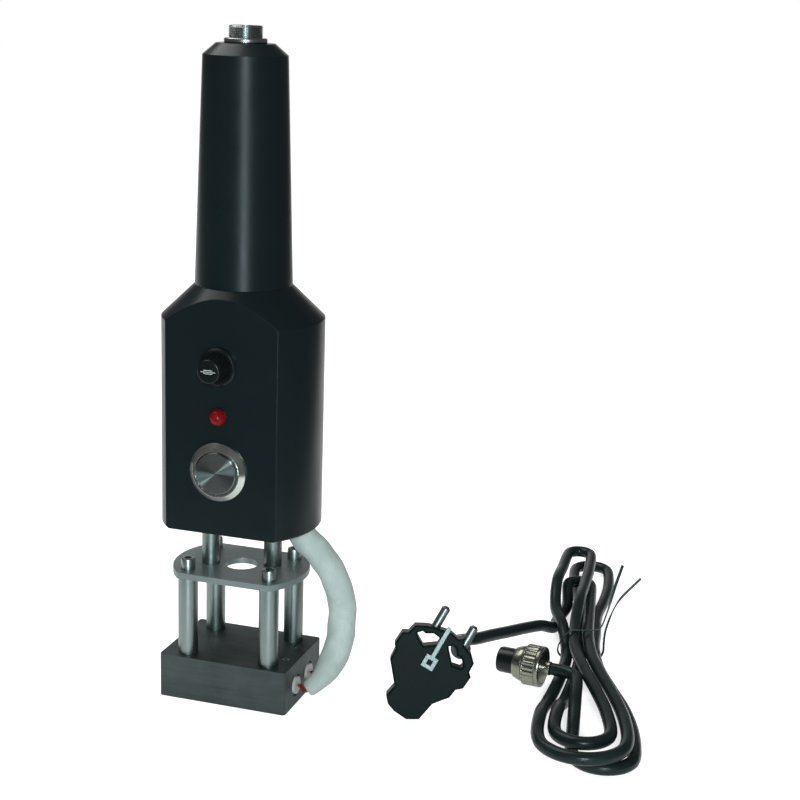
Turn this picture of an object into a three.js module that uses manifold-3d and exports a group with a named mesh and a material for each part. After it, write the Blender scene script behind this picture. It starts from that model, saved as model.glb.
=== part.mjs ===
// Handheld embossing machine with its detached power lead, in millimetres, +Z up.
// The origin is on the working face of the heating block, under the handle's axis.
// The flat with the controls faces -Y, and the heaters' sleeve is on the +X side.

import * as THREE from 'three';
import { mergeVertices } from 'three/addons/utils/BufferGeometryUtils.js';
import Module from 'manifold-3d';

const wasm = await Module();
wasm.setup();

// Fits
const gap = 0.3;
const facesRound = 72;
const facesPost = 24;
const facesControl = 36;
const facesSmall = 16;
const facesWire = 8;
// Middle point of a rounded edge, as a share of its radius
const roundMiddle = 1 - Math.SQRT1_2;

// Heating block and its two cartridge heaters
const blockLength = 67;
const blockDepth = 49;
const blockHeight = 22.3;
const blockChamfer = 1;
const heaterRadius = 5.3;
const heaterLength = 57;
const heaterWall = 0.6;
const heaterHeight = 10.1;
const heaterPlaces = [7.8, -9.3];
const heaterRecess = 0.6;
const sealLength = 8;
const sealStandOut = 0.8;
const setScrewRadius = 2;
const setScrewKey = 1;
const setScrewKeyDepth = 2;
const setScrewPlaces = [{ x: 27.9, y: 8.6 }, { x: 27.2, y: -7.4 }];

// Four lower posts, the plate that they carry, and two upper posts
const lowerPostRadius = 4.93;
const lowerPostLength = 40.8;
const lowerPostX = 21.5;
const lowerPostY = 16.8;
const spigotRadius = 2.5;
const spigotLength = 7;
const plateRadius = 34;
const plateAcross = 48.1;
const plateThickness = 3.05;
const plateHoleRadius = 8.4;
const screwRadius = 2;
const screwReach = 9;
const screwHeadRadius = 3.5;
const screwHeadHeight = 5.8;
const screwHeadRounding = 0.9;
const screwKey = 1.7;
const screwKeyDepth = 2.5;
const upperPostRadius = 4.5;
const upperPostLength = 23.35;
const upperPostPlaces = [{ x: -15, y: -3.8 }, { x: 15, y: 3.8 }];
const underHeadRadius = 3.8;
const underHeadHeight = 2.6;
const studNutWidth = 8;
const studNutHeight = 4;
const studSpare = 1.5;

// Body shell with one flat, and the cover that closes it below
const bodyRadius = 39.26;
const bodyHeight = 103.1;
const bodyWall = 2.5;
const bodyEdge = 1;
const flatDistance = 26.95;
const shoulderRadius = 23.38;
const shoulderHeight = 15.45;
const collarHeight = 5;
const coverThickness = 3;

// Handle
const handleLength = 112.2;
const handleTopRadius = 19.95;
const handleChamfer = 6.2;
const handleChamferHeight = 5.25;
const handleWall = 2.9;
const handleSpigotRadius = 17.7;
const handleSpigotWall = 2.4;
const handleNutRadius = 22.5;
const handleNutHeight = 4.5;
const handleCap = 3;

// Socket on top of the handle
const socketRadius = 8;
const socketBore = 6.9;
const socketFlangeRadius = 10.05;
const socketFlangeHeight = 2.35;
const socketRise = 5.6;
const socketReach = 9;
const insertRadius = 6.6;
const insertLength = 12;
const insertDepth = 7.2;
const contactRadius = 0.75;
const contactCircle = 3.9;
const contactRise = 6;
const contactTail = 4;
const socketNutRadius = 10.6;
const socketNutHeight = 2.6;

// Controls on the flat, measured up from the bottom of the body
const controlX = -1;
const fuseHeight = 83.2;
const lampHeight = 58.7;
const buttonHeight = 31.9;

// Fuse holder, its cap and the fuse
const fuseFlangeRadius = 9.2;
const fuseFlangeHeight = 2.2;
const fuseFlangeEdge = 0.9;
const fuseBarrelRadius = 6.3;
const fuseBarrelLength = 23;
const fuseTailRadius = 2.5;
const fuseTailLength = 8;
const fuseMouthRadius = 5.9;
const fuseMouthDepth = 6;
const fuseRadius = 2.6;
const fuseLength = 20;
const fuseOuterEnd = 1.3;
const fuseCapRadius = 7.2;
const fuseCapEndRadius = 5.6;
const fuseNutRadius = 8.8;
const fuseNutHeight = 3.5;

// Pilot lamp
const lampRadius = 4.1;
const lampRise = 4.2;
const lampRimRadius = 4.5;
const lampRimHeight = 0.6;
const lampBarrelRadius = 3.6;
const lampBarrelLength = 22;
const lampStemRadius = 2.4;
const lampStemLength = 6;

// Push button
const buttonRimRadius = 14.4;
const buttonRimHeight = 3.5;
const buttonRimEdge = 1.2;
const buttonRimTopRadius = 11.9;
const buttonFaceRadius = 10.4;
const buttonFaceEdge = 0.5;
const buttonStandOut = 0.5;
const buttonFaceDepth = 0.8;
const buttonTravel = 2.5;
const buttonBarrelRadius = 10.9;
const buttonBarrelLength = 28;
const buttonTailRadius = 7;
const buttonTailLength = 6;
const buttonStemRadius = 2.6;
const buttonStemLength = 10;
const buttonNutRadius = 14;
const buttonNutHeight = 4;

// Terminal block on the cover, and the wires inside the body
const terminalLength = 34;
const terminalDepth = 12;
const terminalHeight = 14;
const terminalY = 20;
const terminalWells = 4;
const terminalWellRadius = 1.6;
const terminalWellDepth = 8;
const wireRadius = 1.2;
const wireStraight = 15;
const wireBend = 6;
const wireLeadIn = 2;

// Woven sleeve with the heaters' two twin leads in it
const sleeveRadius = 7.25;
const sleeveWall = 0.8;
const sleeveEntry = { x: 27.5, y: 6 };
const sleeveInside = 2;
const heaterLeadRadius = 1.1;
const heaterLeadSpacing = 4;

// Power lead
const cordRadius = 3.2;
const lanePitch = 7.3;
const layerPitch = 7.2;
const lowLayer = 4.7;
const tieRadius = 0.4;

// Moulded plug of the power lead
const plugThickness = 13;
const plugEdge = 0.8;
const plugPinRadius = 2.2;
const plugPinRoot = 1.8;
const plugPins = [{ name: 'plug_pin_left', x: -7.8, y: 15.5, tip: 26.8 },
  { name: 'plug_pin_right', x: 8.7, y: 14.6, tip: 25.4 }];
const earthThickness = 0.8;
const earthFrame = 6.4;
const earthWindow = 2.6;
const earthStripWidth = 2;
const earthStripTop = 19.4;
const earthPlace = { x: -2.2, y: -0.1 };
const reliefLength = 22;
const reliefBaseRadius = 5;
const reliefEndRadius = 3.9;

// Cable connector of the power lead
const ringRadius = 10.5;
const ringLength = 9.5;
const ringGrooves = 20;
const ringGrooveRadius = 0.45;
const connectorRadius = 8.2;
const connectorShoulderRadius = 9.2;
const connectorEndRadius = 7.5;
const connectorLength = 15.2;
const connectorBore = 6.2;
const connectorBoreDepth = 6;
const noseLength = 9.3;
const noseEdge = 1.8;
const glandRadius = 3.6;
const glandLength = 4;

// Heights of the main joints
const postTop = blockHeight + lowerPostLength;
const plateTop = postTop + plateThickness;
const bodyBottom = plateTop + upperPostLength;
const coverTop = bodyBottom + coverThickness;
const shoulderBase = bodyBottom + bodyHeight;
const shoulderTop = shoulderBase + shoulderHeight;
const handleTop = shoulderTop + handleLength;
const collarBottom = shoulderTop - collarHeight;
const bodyBore = bodyRadius - bodyWall;
const insertTop = handleTop + socketFlangeHeight + socketRise - insertDepth;

// Finishes
const finishes = {
  blockSteel: { color: 0x5d5f5e, roughness: 0.55, metalness: 0.8 },
  steel: { color: 0xa9adab, roughness: 0.35, metalness: 0.9 },
  brightMetal: { color: 0xc9ccc8, roughness: 0.22, metalness: 1 },
  blackCoat: { color: 0x101314, roughness: 0.42, metalness: 0.2 },
  blackPlastic: { color: 0x0c0e0f, roughness: 0.3, metalness: 0 },
  redLens: { color: 0xc01822, roughness: 0.15, metalness: 0 },
  ceramic: { color: 0xdfe2de, roughness: 0.5, metalness: 0 },
  sleeveCloth: { color: 0xc9d3cc, roughness: 0.85, metalness: 0 },
  redWire: { color: 0x7c1a24, roughness: 0.5, metalness: 0 },
  brass: { color: 0xb08d4a, roughness: 0.35, metalness: 1 },
  blackRubber: { color: 0x0e1213, roughness: 0.4, metalness: 0 },
  glass: { color: 0xd8e2e0, roughness: 0.1, metalness: 0 },
};

const machine = new THREE.Group();

// Keeps positions only, merges shared vertices, drops empty triangles and turns the faces outwards
function welded(source) {
  const bare = source.clone();
  bare.deleteAttribute('normal');
  bare.deleteAttribute('uv');
  const merged = mergeVertices(bare, 1e-4);
  const place = merged.getAttribute('position');
  const corners = merged.getIndex().array;
  const kept = [];
  const a = new THREE.Vector3();
  const b = new THREE.Vector3();
  const c = new THREE.Vector3();
  let volume = 0;
  for (let i = 0; i < corners.length; i += 3) {
    const [p, q, r] = [corners[i], corners[i + 1], corners[i + 2]];
    if (p !== q && q !== r && r !== p) {
      kept.push(p, q, r);
      a.fromBufferAttribute(place, p);
      b.fromBufferAttribute(place, q);
      c.fromBufferAttribute(place, r);
      volume += a.dot(b.cross(c));
    }
  }
  merged.setIndex(volume < 0 ? kept.reverse() : kept);
  return merged;
}

function solidOf(geometry) {
  const closed = welded(geometry);
  const vertProperties = new Float32Array(closed.getAttribute('position').array);
  const triVerts = new Uint32Array(closed.getIndex().array);
  return new wasm.Manifold(new wasm.Mesh({ numProp: 3, vertProperties, triVerts }));
}

function geometryOf(solid) {
  const { vertProperties, triVerts } = solid.getMesh();
  const geometry = new THREE.BufferGeometry();
  geometry.setAttribute('position', new THREE.BufferAttribute(vertProperties, 3));
  geometry.setIndex(new THREE.BufferAttribute(triVerts, 1));
  return geometry;
}

function cut(geometry, tools) {
  let solid = solidOf(geometry);
  for (const tool of tools) {
    solid = solid.subtract(solidOf(tool));
  }
  return geometryOf(solid);
}

function addPiece(name, geometry, finish, parent = machine) {
  const shape = welded(geometry);
  shape.computeVertexNormals();
  const mesh = new THREE.Mesh(shape, new THREE.MeshStandardMaterial(finishes[finish]));
  mesh.name = name;
  parent.add(mesh);
  return mesh;
}

// Solid of revolution about Z from a list of [radius, height]
function turned(profile, faces = facesRound) {
  const points = profile.map(([radius, height]) => new THREE.Vector2(radius, height));
  return new THREE.LatheGeometry(points, faces).rotateX(Math.PI / 2);
}

// Ring of revolution: its profile closes on itself
function turnedRing(profile, faces = facesRound) {
  return turned([...profile, profile[0]], faces);
}

// Upright rod from one height to another
function rod(radius, bottom, top, x = 0, y = 0, faces = facesSmall) {
  const geometry = new THREE.CylinderGeometry(radius, radius, top - bottom, faces);
  return geometry.rotateX(Math.PI / 2).translate(x, y, (bottom + top) / 2);
}

// Rod along X from one place to another
function rodAlongX(radius, from, to, y, z, faces = facesPost) {
  const geometry = new THREE.CylinderGeometry(radius, radius, to - from, faces);
  return geometry.rotateZ(Math.PI / 2).translate((from + to) / 2, y, z);
}

function hexagon(acrossFlats) {
  const corner = acrossFlats / 2 / Math.cos(Math.PI / 6);
  const shape = new THREE.Shape();
  for (let i = 0; i < 6; i += 1) {
    const angle = i * Math.PI / 3;
    const [x, y] = [corner * Math.cos(angle), corner * Math.sin(angle)];
    if (i === 0) {
      shape.moveTo(x, y);
    } else {
      shape.lineTo(x, y);
    }
  }
  shape.closePath();
  return shape;
}

function hexPrism(acrossFlats, bottom, top, x = 0, y = 0) {
  const steps = { depth: top - bottom, bevelEnabled: false };
  return new THREE.ExtrudeGeometry(hexagon(acrossFlats), steps).translate(x, y, bottom);
}

function hexNut(acrossFlats, bore, bottom, top, x = 0, y = 0) {
  const shape = hexagon(acrossFlats);
  shape.holes.push(new THREE.Path().absarc(0, 0, bore, 0, 2 * Math.PI, true));
  const steps = { depth: top - bottom, bevelEnabled: false, curveSegments: facesSmall / 2 };
  return new THREE.ExtrudeGeometry(shape, steps).translate(x, y, bottom);
}

// Round section swept along a smooth curve through the points
function tube(points, radius, steps, faces = facesWire) {
  const section = new THREE.Shape();
  for (let i = 0; i < faces; i += 1) {
    const angle = 2 * Math.PI * i / faces;
    const [x, y] = [radius * Math.cos(angle), radius * Math.sin(angle)];
    if (i === 0) {
      section.moveTo(x, y);
    } else {
      section.lineTo(x, y);
    }
  }
  section.closePath();
  const extrudePath = new THREE.CatmullRomCurve3(points, false, 'centripetal');
  return new THREE.ExtrudeGeometry(section, { steps, extrudePath, bevelEnabled: false });
}

function vectors(rows) {
  return rows.map(([x, y, z]) => new THREE.Vector3(x, y, z));
}

// Turns a piece made about Z so that Z points out of the flat, at a height on it
function onFlat(geometry, height) {
  return geometry.rotateX(Math.PI / 2).translate(controlX, -flatDistance, bodyBottom + height);
}

function postPlaces() {
  const places = [];
  for (const x of [-lowerPostX, lowerPostX]) {
    for (const y of [-lowerPostY, lowerPostY]) {
      places.push({ x, y });
    }
  }
  return places;
}

// Heating block: bored from the +X end for the heaters, from above for the posts and set screws
function heatingBlock() {
  const [halfX, halfY] = [blockLength / 2, blockDepth / 2];
  const outline = new THREE.Shape();
  outline.moveTo(-halfX + blockChamfer, -halfY);
  outline.lineTo(halfX - blockChamfer, -halfY);
  outline.lineTo(halfX, -halfY + blockChamfer);
  outline.lineTo(halfX, halfY - blockChamfer);
  outline.lineTo(halfX - blockChamfer, halfY);
  outline.lineTo(-halfX + blockChamfer, halfY);
  outline.lineTo(-halfX, halfY - blockChamfer);
  outline.lineTo(-halfX, -halfY + blockChamfer);
  outline.closePath();
  const body = new THREE.ExtrudeGeometry(outline, { depth: blockHeight, bevelEnabled: false });
  const holes = [];
  for (const { x, y } of postPlaces()) {
    holes.push(rod(spigotRadius + gap, blockHeight - spigotLength - gap, blockHeight + 1, x, y));
  }
  heaterPlaces.forEach((y, i) => {
    const inner = halfX - heaterLength - gap;
    holes.push(rodAlongX(heaterRadius + gap, inner, halfX + 1, y, heaterHeight));
    const screw = setScrewPlaces[i];
    holes.push(rod(setScrewRadius + gap, heaterHeight, blockHeight + 1, screw.x, screw.y));
  });
  addPiece('heating_block', cut(body, holes), 'blockSteel');
}

function heaters() {
  const mouth = blockLength / 2;
  const z = heaterHeight;
  heaterPlaces.forEach((y, i) => {
    const inner = mouth - heaterLength;
    const cupRadius = heaterRadius - heaterWall;
    const sealInner = mouth + sealStandOut - sealLength;
    const sheath = rodAlongX(heaterRadius, inner, mouth - heaterRecess, y, z);
    const cup = rodAlongX(cupRadius, sealInner, mouth + sealStandOut, y, z);
    addPiece(`heater_${i + 1}`, cut(sheath, [cup]), 'steel');
    const seal = rodAlongX(cupRadius - gap, sealInner, mouth + sealStandOut, y, z);
    addPiece(`heater_seal_${i + 1}`, seal, 'ceramic');
    const { x: screwX, y: screwY } = setScrewPlaces[i];
    const bottom = z + heaterRadius + gap;
    const screw = rod(setScrewRadius, bottom, blockHeight - gap, screwX, screwY);
    const key = hexPrism(2 * setScrewKey, blockHeight - setScrewKeyDepth, blockHeight, screwX, screwY);
    addPiece(`set_screw_${i + 1}`, cut(screw, [key]), 'brightMetal');
  });
}

function lowerPosts() {
  postPlaces().forEach(({ x, y }, i) => {
    const post = turned([
      [0, blockHeight - spigotLength],
      [spigotRadius, blockHeight - spigotLength],
      [spigotRadius, blockHeight],
      [lowerPostRadius, blockHeight],
      [lowerPostRadius, postTop],
      [screwRadius + gap, postTop],
      [screwRadius + gap, postTop - screwReach - gap],
      [0, postTop - screwReach - gap],
    ], facesPost);
    addPiece(`lower_post_${i + 1}`, post.translate(x, y, 0), 'steel');
  });
}

// Plate: a disc with two flats, a centre hole and a hole for each screw
function midPlate() {
  const halfAcross = plateAcross / 2;
  const corner = Math.asin(halfAcross / plateRadius);
  const outline = new THREE.Shape();
  outline.absarc(0, 0, plateRadius, -corner, corner, false);
  outline.absarc(0, 0, plateRadius, Math.PI - corner, Math.PI + corner, false);
  outline.closePath();
  outline.holes.push(new THREE.Path().absarc(0, 0, plateHoleRadius, 0, 2 * Math.PI, true));
  const steps = { depth: plateThickness, bevelEnabled: false, curveSegments: facesSmall };
  const body = new THREE.ExtrudeGeometry(outline, steps).translate(0, 0, postTop);
  const holes = [...postPlaces(), ...upperPostPlaces].map(({ x, y }) => (
    rod(screwRadius + gap, postTop - 1, plateTop + 1, x, y)
  ));
  addPiece('mid_plate', cut(body, holes), 'steel');
}

// Round-edged cap screws through the plate into the lower posts
function plateScrews() {
  const headTop = plateTop + screwHeadHeight;
  postPlaces().forEach(({ x, y }, i) => {
    const screw = turned([
      [0, postTop - screwReach],
      [screwRadius, postTop - screwReach],
      [screwRadius, plateTop],
      [screwHeadRadius, plateTop],
      [screwHeadRadius, headTop - screwHeadRounding],
      [screwHeadRadius - screwHeadRounding * roundMiddle, headTop - screwHeadRounding * roundMiddle],
      [screwHeadRadius - screwHeadRounding, headTop],
      [0, headTop],
    ], facesSmall).translate(x, y, 0);
    const key = hexPrism(2 * screwKey, headTop - screwKeyDepth, headTop + 1, x, y);
    addPiece(`plate_screw_${i + 1}`, cut(screw, [key]), 'brightMetal');
  });
}

// Upper posts: screwed to the plate from below, with a stud and nut through the cover
function upperPosts() {
  const studTop = coverTop + studNutHeight + studSpare;
  upperPostPlaces.forEach(({ x, y }, i) => {
    const post = turned([
      [0, plateTop + screwReach + gap],
      [screwRadius + gap, plateTop + screwReach + gap],
      [screwRadius + gap, plateTop],
      [upperPostRadius, plateTop],
      [upperPostRadius, bodyBottom],
      [spigotRadius, bodyBottom],
      [spigotRadius, studTop],
      [0, studTop],
    ], facesPost);
    addPiece(`upper_post_${i + 1}`, post.translate(x, y, 0), 'steel');
    const screw = turned([
      [0, postTop - underHeadHeight],
      [underHeadRadius, postTop - underHeadHeight],
      [underHeadRadius, postTop],
      [screwRadius, postTop],
      [screwRadius, plateTop + screwReach],
      [0, plateTop + screwReach],
    ], facesSmall);
    addPiece(`upper_post_screw_${i + 1}`, screw.translate(x, y, 0), 'brightMetal');
    const nut = hexNut(studNutWidth, spigotRadius + gap, coverTop, coverTop + studNutHeight, x, y);
    addPiece(`upper_post_nut_${i + 1}`, nut, 'brightMetal');
  });
}

// Large box on the -Y side of a plane, for cutting a flat
function beyondFlat(distance) {
  const size = 4 * bodyRadius;
  const tall = 2 * handleTop;
  return new THREE.BoxGeometry(size, size, tall).translate(0, -distance - size / 2, handleTop / 2);
}

function bodyShell() {
  const slope = (bodyRadius - shoulderRadius) / shoulderHeight;
  const innerBase = shoulderBase - bodyWall * (Math.sqrt(1 + slope * slope) - 1) / slope;
  const collarBore = handleSpigotRadius + gap;
  const underCollar = bodyBore - (collarBottom - innerBase) * slope;
  const outer = turned([
    [0, bodyBottom],
    [bodyRadius - bodyEdge, bodyBottom],
    [bodyRadius, bodyBottom + bodyEdge],
    [bodyRadius, shoulderBase],
    [shoulderRadius, shoulderTop],
    [0, shoulderTop],
  ]);
  const inner = turned([
    [0, bodyBottom - 1],
    [bodyBore, bodyBottom - 1],
    [bodyBore, innerBase],
    [underCollar, collarBottom],
    [0, collarBottom],
  ]);
  const hollow = cut(inner, [beyondFlat(flatDistance - bodyWall)]);
  const controlHole = (radius, height) => onFlat(rod(radius + gap, -2 * bodyWall, bodyWall), height);
  const shell = cut(outer, [
    beyondFlat(flatDistance),
    hollow,
    rod(collarBore, collarBottom - 1, shoulderTop + 1, 0, 0, facesRound),
    controlHole(fuseBarrelRadius, fuseHeight),
    controlHole(lampBarrelRadius, lampHeight),
    controlHole(buttonBarrelRadius, buttonHeight),
  ]);
  addPiece('body_shell', shell, 'blackCoat');
}

// Cover inside the shell's bottom edge, with holes for the studs and the sleeve
function bottomCover() {
  const body = cut(rod(bodyBore - gap, bodyBottom, coverTop, 0, 0, facesRound), [
    beyondFlat(flatDistance - bodyWall - gap),
    ...upperPostPlaces.map(({ x, y }) => rod(spigotRadius + gap, bodyBottom - 1, coverTop + 1, x, y)),
    rod(sleeveRadius + gap, bodyBottom - 1, coverTop + 1, sleeveEntry.x, sleeveEntry.y, facesPost),
  ]);
  addPiece('bottom_cover', body, 'steel');
}

// Tapered hollow handle with a spigot that passes the shell's collar into a ring nut
function handle() {
  const chamferBase = handleTop - handleChamferHeight;
  const spigotBottom = collarBottom - handleNutHeight;
  const spigotBore = handleSpigotRadius - handleSpigotWall;
  const boreFoot = shoulderTop + handleWall;
  const tube = turnedRing([
    [handleSpigotRadius, spigotBottom],
    [handleSpigotRadius, shoulderTop],
    [shoulderRadius, shoulderTop],
    [handleTopRadius, chamferBase],
    [handleTopRadius - handleChamfer, handleTop],
    [socketRadius + gap, handleTop],
    [socketRadius + gap, handleTop - handleCap],
    [handleTopRadius - handleChamfer, handleTop - handleCap],
    [handleTopRadius - handleWall, chamferBase - handleWall],
    [shoulderRadius - handleWall, boreFoot + handleWall],
    [spigotBore, boreFoot],
    [spigotBore, spigotBottom],
  ]);
  addPiece('handle_tube', tube, 'blackCoat');
  const nut = turnedRing([
    [handleSpigotRadius + gap, spigotBottom],
    [handleNutRadius, spigotBottom],
    [handleNutRadius, collarBottom],
    [handleSpigotRadius + gap, collarBottom],
  ], facesControl);
  addPiece('handle_nut', nut, 'steel');
}

function contactPlaces() {
  const places = [];
  for (let i = 0; i < 3; i += 1) {
    const angle = Math.PI / 2 + i * 2 * Math.PI / 3;
    places.push({ x: contactCircle * Math.cos(angle), y: contactCircle * Math.sin(angle) });
  }
  return places;
}

// Three-contact round socket, held by its nut under the top of the handle
function socket() {
  const flangeTop = handleTop + socketFlangeHeight;
  const threadTop = flangeTop + socketRise;
  const shellBottom = handleTop - socketReach;
  const insertBottom = insertTop - insertLength;
  const shell = turnedRing([
    [socketRadius, shellBottom],
    [socketRadius, handleTop],
    [socketFlangeRadius, handleTop],
    [socketFlangeRadius, flangeTop],
    [socketRadius, flangeTop],
    [socketRadius, threadTop],
    [socketBore, threadTop],
    [socketBore, shellBottom],
  ], facesControl);
  addPiece('socket_shell', shell, 'brightMetal');
  const insert = rod(insertRadius, insertBottom, insertTop, 0, 0, facesPost);
  const holes = contactPlaces().map(({ x, y }) => (
    rod(contactRadius + gap, insertBottom - 1, insertTop + 1, x, y, facesSmall / 2)
  ));
  addPiece('socket_insert', cut(insert, holes), 'blackPlastic');
  contactPlaces().forEach(({ x, y }, i) => {
    const pin = rod(contactRadius, insertBottom - contactTail, insertTop + contactRise, x, y, facesSmall / 2);
    addPiece(`socket_contact_${i + 1}`, pin, 'brass');
  });
  const nutTop = handleTop - handleCap;
  const nut = hexNut(2 * socketNutRadius, socketRadius + gap, nutTop - socketNutHeight, nutTop);
  addPiece('socket_nut', nut, 'brightMetal');
}

function fuse() {
  const linkInner = fuseOuterEnd - fuseLength;
  const linkBore = fuseRadius + 2 * gap;
  const holder = turned([
    [0, -fuseBarrelLength - fuseTailLength],
    [fuseTailRadius, -fuseBarrelLength - fuseTailLength],
    [fuseTailRadius, -fuseBarrelLength],
    [fuseBarrelRadius, -fuseBarrelLength],
    [fuseBarrelRadius, 0],
    [fuseFlangeRadius, 0],
    [fuseFlangeRadius, fuseFlangeHeight - fuseFlangeEdge],
    [fuseFlangeRadius - fuseFlangeEdge, fuseFlangeHeight],
    [fuseMouthRadius, fuseFlangeHeight],
    [fuseMouthRadius, -fuseMouthDepth],
    [linkBore, -fuseMouthDepth],
    [linkBore, linkInner - gap],
    [0, linkInner - gap],
  ], facesPost);
  addPiece('fuse_holder', onFlat(holder, fuseHeight), 'blackPlastic');
  const nut = turnedRing([
    [fuseBarrelRadius + gap, -bodyWall - fuseNutHeight],
    [fuseNutRadius, -bodyWall - fuseNutHeight],
    [fuseNutRadius, -bodyWall],
    [fuseBarrelRadius + gap, -bodyWall],
  ], facesPost);
  addPiece('fuse_nut', onFlat(nut, fuseHeight), 'blackPlastic');
  const capEnd = bodyRadius - flatDistance;
  const capFoot = fuseFlangeHeight + gap;
  const skirt = fuseMouthRadius - 1.5 * gap;
  const cap = turned([
    [0, fuseOuterEnd + gap],
    [linkBore, fuseOuterEnd + gap],
    [linkBore, gap - fuseMouthDepth],
    [skirt, gap - fuseMouthDepth],
    [skirt, capFoot],
    [fuseCapRadius, capFoot],
    [fuseCapEndRadius, capEnd],
    [0, capEnd],
  ], facesPost);
  addPiece('fuse_cap', onFlat(cap, fuseHeight), 'blackPlastic');
  addPiece('fuse_link', onFlat(rod(fuseRadius, linkInner, fuseOuterEnd), fuseHeight), 'glass');
}

function lamp() {
  const stemBottom = lampRimHeight - lampStemLength;
  const barrel = turned([
    [0, -lampBarrelLength],
    [lampBarrelRadius, -lampBarrelLength],
    [lampBarrelRadius, 0],
    [lampRimRadius, 0],
    [lampRimRadius, lampRimHeight],
    [lampStemRadius + gap, lampRimHeight],
    [lampStemRadius + gap, stemBottom - gap],
    [0, stemBottom - gap],
  ], facesSmall);
  addPiece('lamp_body', onFlat(barrel, lampHeight), 'blackPlastic');
  const dome = [];
  const domeSteps = 5;
  for (let i = 0; i <= domeSteps; i += 1) {
    const angle = i * Math.PI / 2 / domeSteps;
    dome.push([lampRadius * Math.cos(angle), lampRimHeight + lampRise * Math.sin(angle)]);
  }
  dome[domeSteps][0] = 0;
  const lens = turned([
    [0, stemBottom],
    [lampStemRadius, stemBottom],
    [lampStemRadius, lampRimHeight],
    ...dome,
  ], facesSmall);
  addPiece('lamp_lens', onFlat(lens, lampHeight), 'redLens');
}

// Push button: a fixed rim and barrel, and a face on a stem that moves in by its travel
function button() {
  const faceTop = buttonRimHeight + buttonStandOut;
  const faceBottom = faceTop - buttonFaceDepth;
  const floor = faceBottom - buttonTravel - gap;
  const stemBottom = faceBottom - buttonStemLength;
  const body = turned([
    [0, -buttonBarrelLength - buttonTailLength],
    [buttonTailRadius, -buttonBarrelLength - buttonTailLength],
    [buttonTailRadius, -buttonBarrelLength],
    [buttonBarrelRadius, -buttonBarrelLength],
    [buttonBarrelRadius, 0],
    [buttonRimRadius, 0],
    [buttonRimRadius, buttonRimEdge],
    [buttonRimTopRadius, buttonRimHeight],
    [buttonFaceRadius + gap, buttonRimHeight],
    [buttonFaceRadius + gap, floor],
    [buttonStemRadius + gap, floor],
    [buttonStemRadius + gap, stemBottom - buttonTravel - gap],
    [0, stemBottom - buttonTravel - gap],
  ], facesControl);
  addPiece('button_body', onFlat(body, buttonHeight), 'brightMetal');
  const face = turned([
    [0, stemBottom],
    [buttonStemRadius, stemBottom],
    [buttonStemRadius, faceBottom],
    [buttonFaceRadius, faceBottom],
    [buttonFaceRadius, faceTop - buttonFaceEdge],
    [buttonFaceRadius - buttonFaceEdge, faceTop],
    [0, faceTop],
  ], facesControl);
  addPiece('button_face', onFlat(face, buttonHeight), 'brightMetal');
  const nut = turnedRing([
    [buttonBarrelRadius + gap, -bodyWall - buttonNutHeight],
    [buttonNutRadius, -bodyWall - buttonNutHeight],
    [buttonNutRadius, -bodyWall],
    [buttonBarrelRadius + gap, -bodyWall],
  ], facesPost);
  addPiece('button_nut', onFlat(nut, buttonHeight), 'steel');
}

function terminalBlock() {
  const top = coverTop + terminalHeight;
  const body = new THREE.BoxGeometry(terminalLength, terminalDepth, terminalHeight);
  body.translate(0, terminalY, (coverTop + top) / 2);
  addPiece('terminal_block', cut(body, wellPlaces().map((x) => (
    rod(terminalWellRadius, top - terminalWellDepth, top + 1, x, terminalY, facesSmall / 2)
  ))), 'ceramic');
}

function wellPlaces() {
  const pitch = terminalLength / terminalWells;
  return Array.from({ length: terminalWells }, (_, i) => (i + 0.5) * pitch - terminalLength / 2);
}

// Wires inside the handle and the body: socket to fuse, and button to terminals
function innerWires() {
  const contactEnd = insertTop - insertLength - contactTail;
  const [firstWell] = wellPlaces();
  const wellFloor = coverTop + terminalHeight - terminalWellDepth + gap;
  const wellTop = coverTop + terminalHeight;
  const { x: pinX, y: pinY } = contactPlaces()[0];
  const fuseTail = fuseBarrelLength + fuseTailLength - flatDistance + gap;
  const buttonTail = buttonBarrelLength + buttonTailLength - flatDistance + gap;
  const routes = {
    wire_feed: [
      [pinX, pinY, contactEnd - gap],
      [pinX, pinY, contactEnd - wireStraight],
      [0, fuseTail + wireBend / 2, shoulderTop + wireStraight],
      [controlX, fuseTail + wireBend, collarBottom - handleNutHeight],
      [controlX, fuseTail + wireBend, bodyBottom + fuseHeight + wireBend],
      [controlX, fuseTail + wireLeadIn, bodyBottom + fuseHeight],
      [controlX, fuseTail, bodyBottom + fuseHeight],
    ],
    wire_switch: [
      [controlX, buttonTail, bodyBottom + buttonHeight],
      [controlX, buttonTail + 2 * wireLeadIn, bodyBottom + buttonHeight],
      [firstWell, terminalY, wellTop + wireBend],
      [firstWell, terminalY, wellTop],
      [firstWell, terminalY, wellFloor],
    ],
  };
  for (const [name, route] of Object.entries(routes)) {
    addPiece(name, tube(vectors(route), wireRadius, 18, 6), 'redWire');
  }
}

// Sleeve: from inside the cover, out under the body's edge and down to the heaters' ends
const sleeveRoute = [
  [sleeveEntry.x, sleeveEntry.y, coverTop + sleeveInside],
  [sleeveEntry.x, sleeveEntry.y, bodyBottom - 0.5],
  [30.6, 6, 82.4],
  [39.2, 6, 75],
  [47.2, 5, 64],
  [52.4, 3, 51.8],
  [53.4, 0.5, 40],
  [51.9, -2.5, 28.4],
  [48.4, -6, 19],
  [44.6, -9, 13.2],
  [40.4, -11, 9.6],
];

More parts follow.
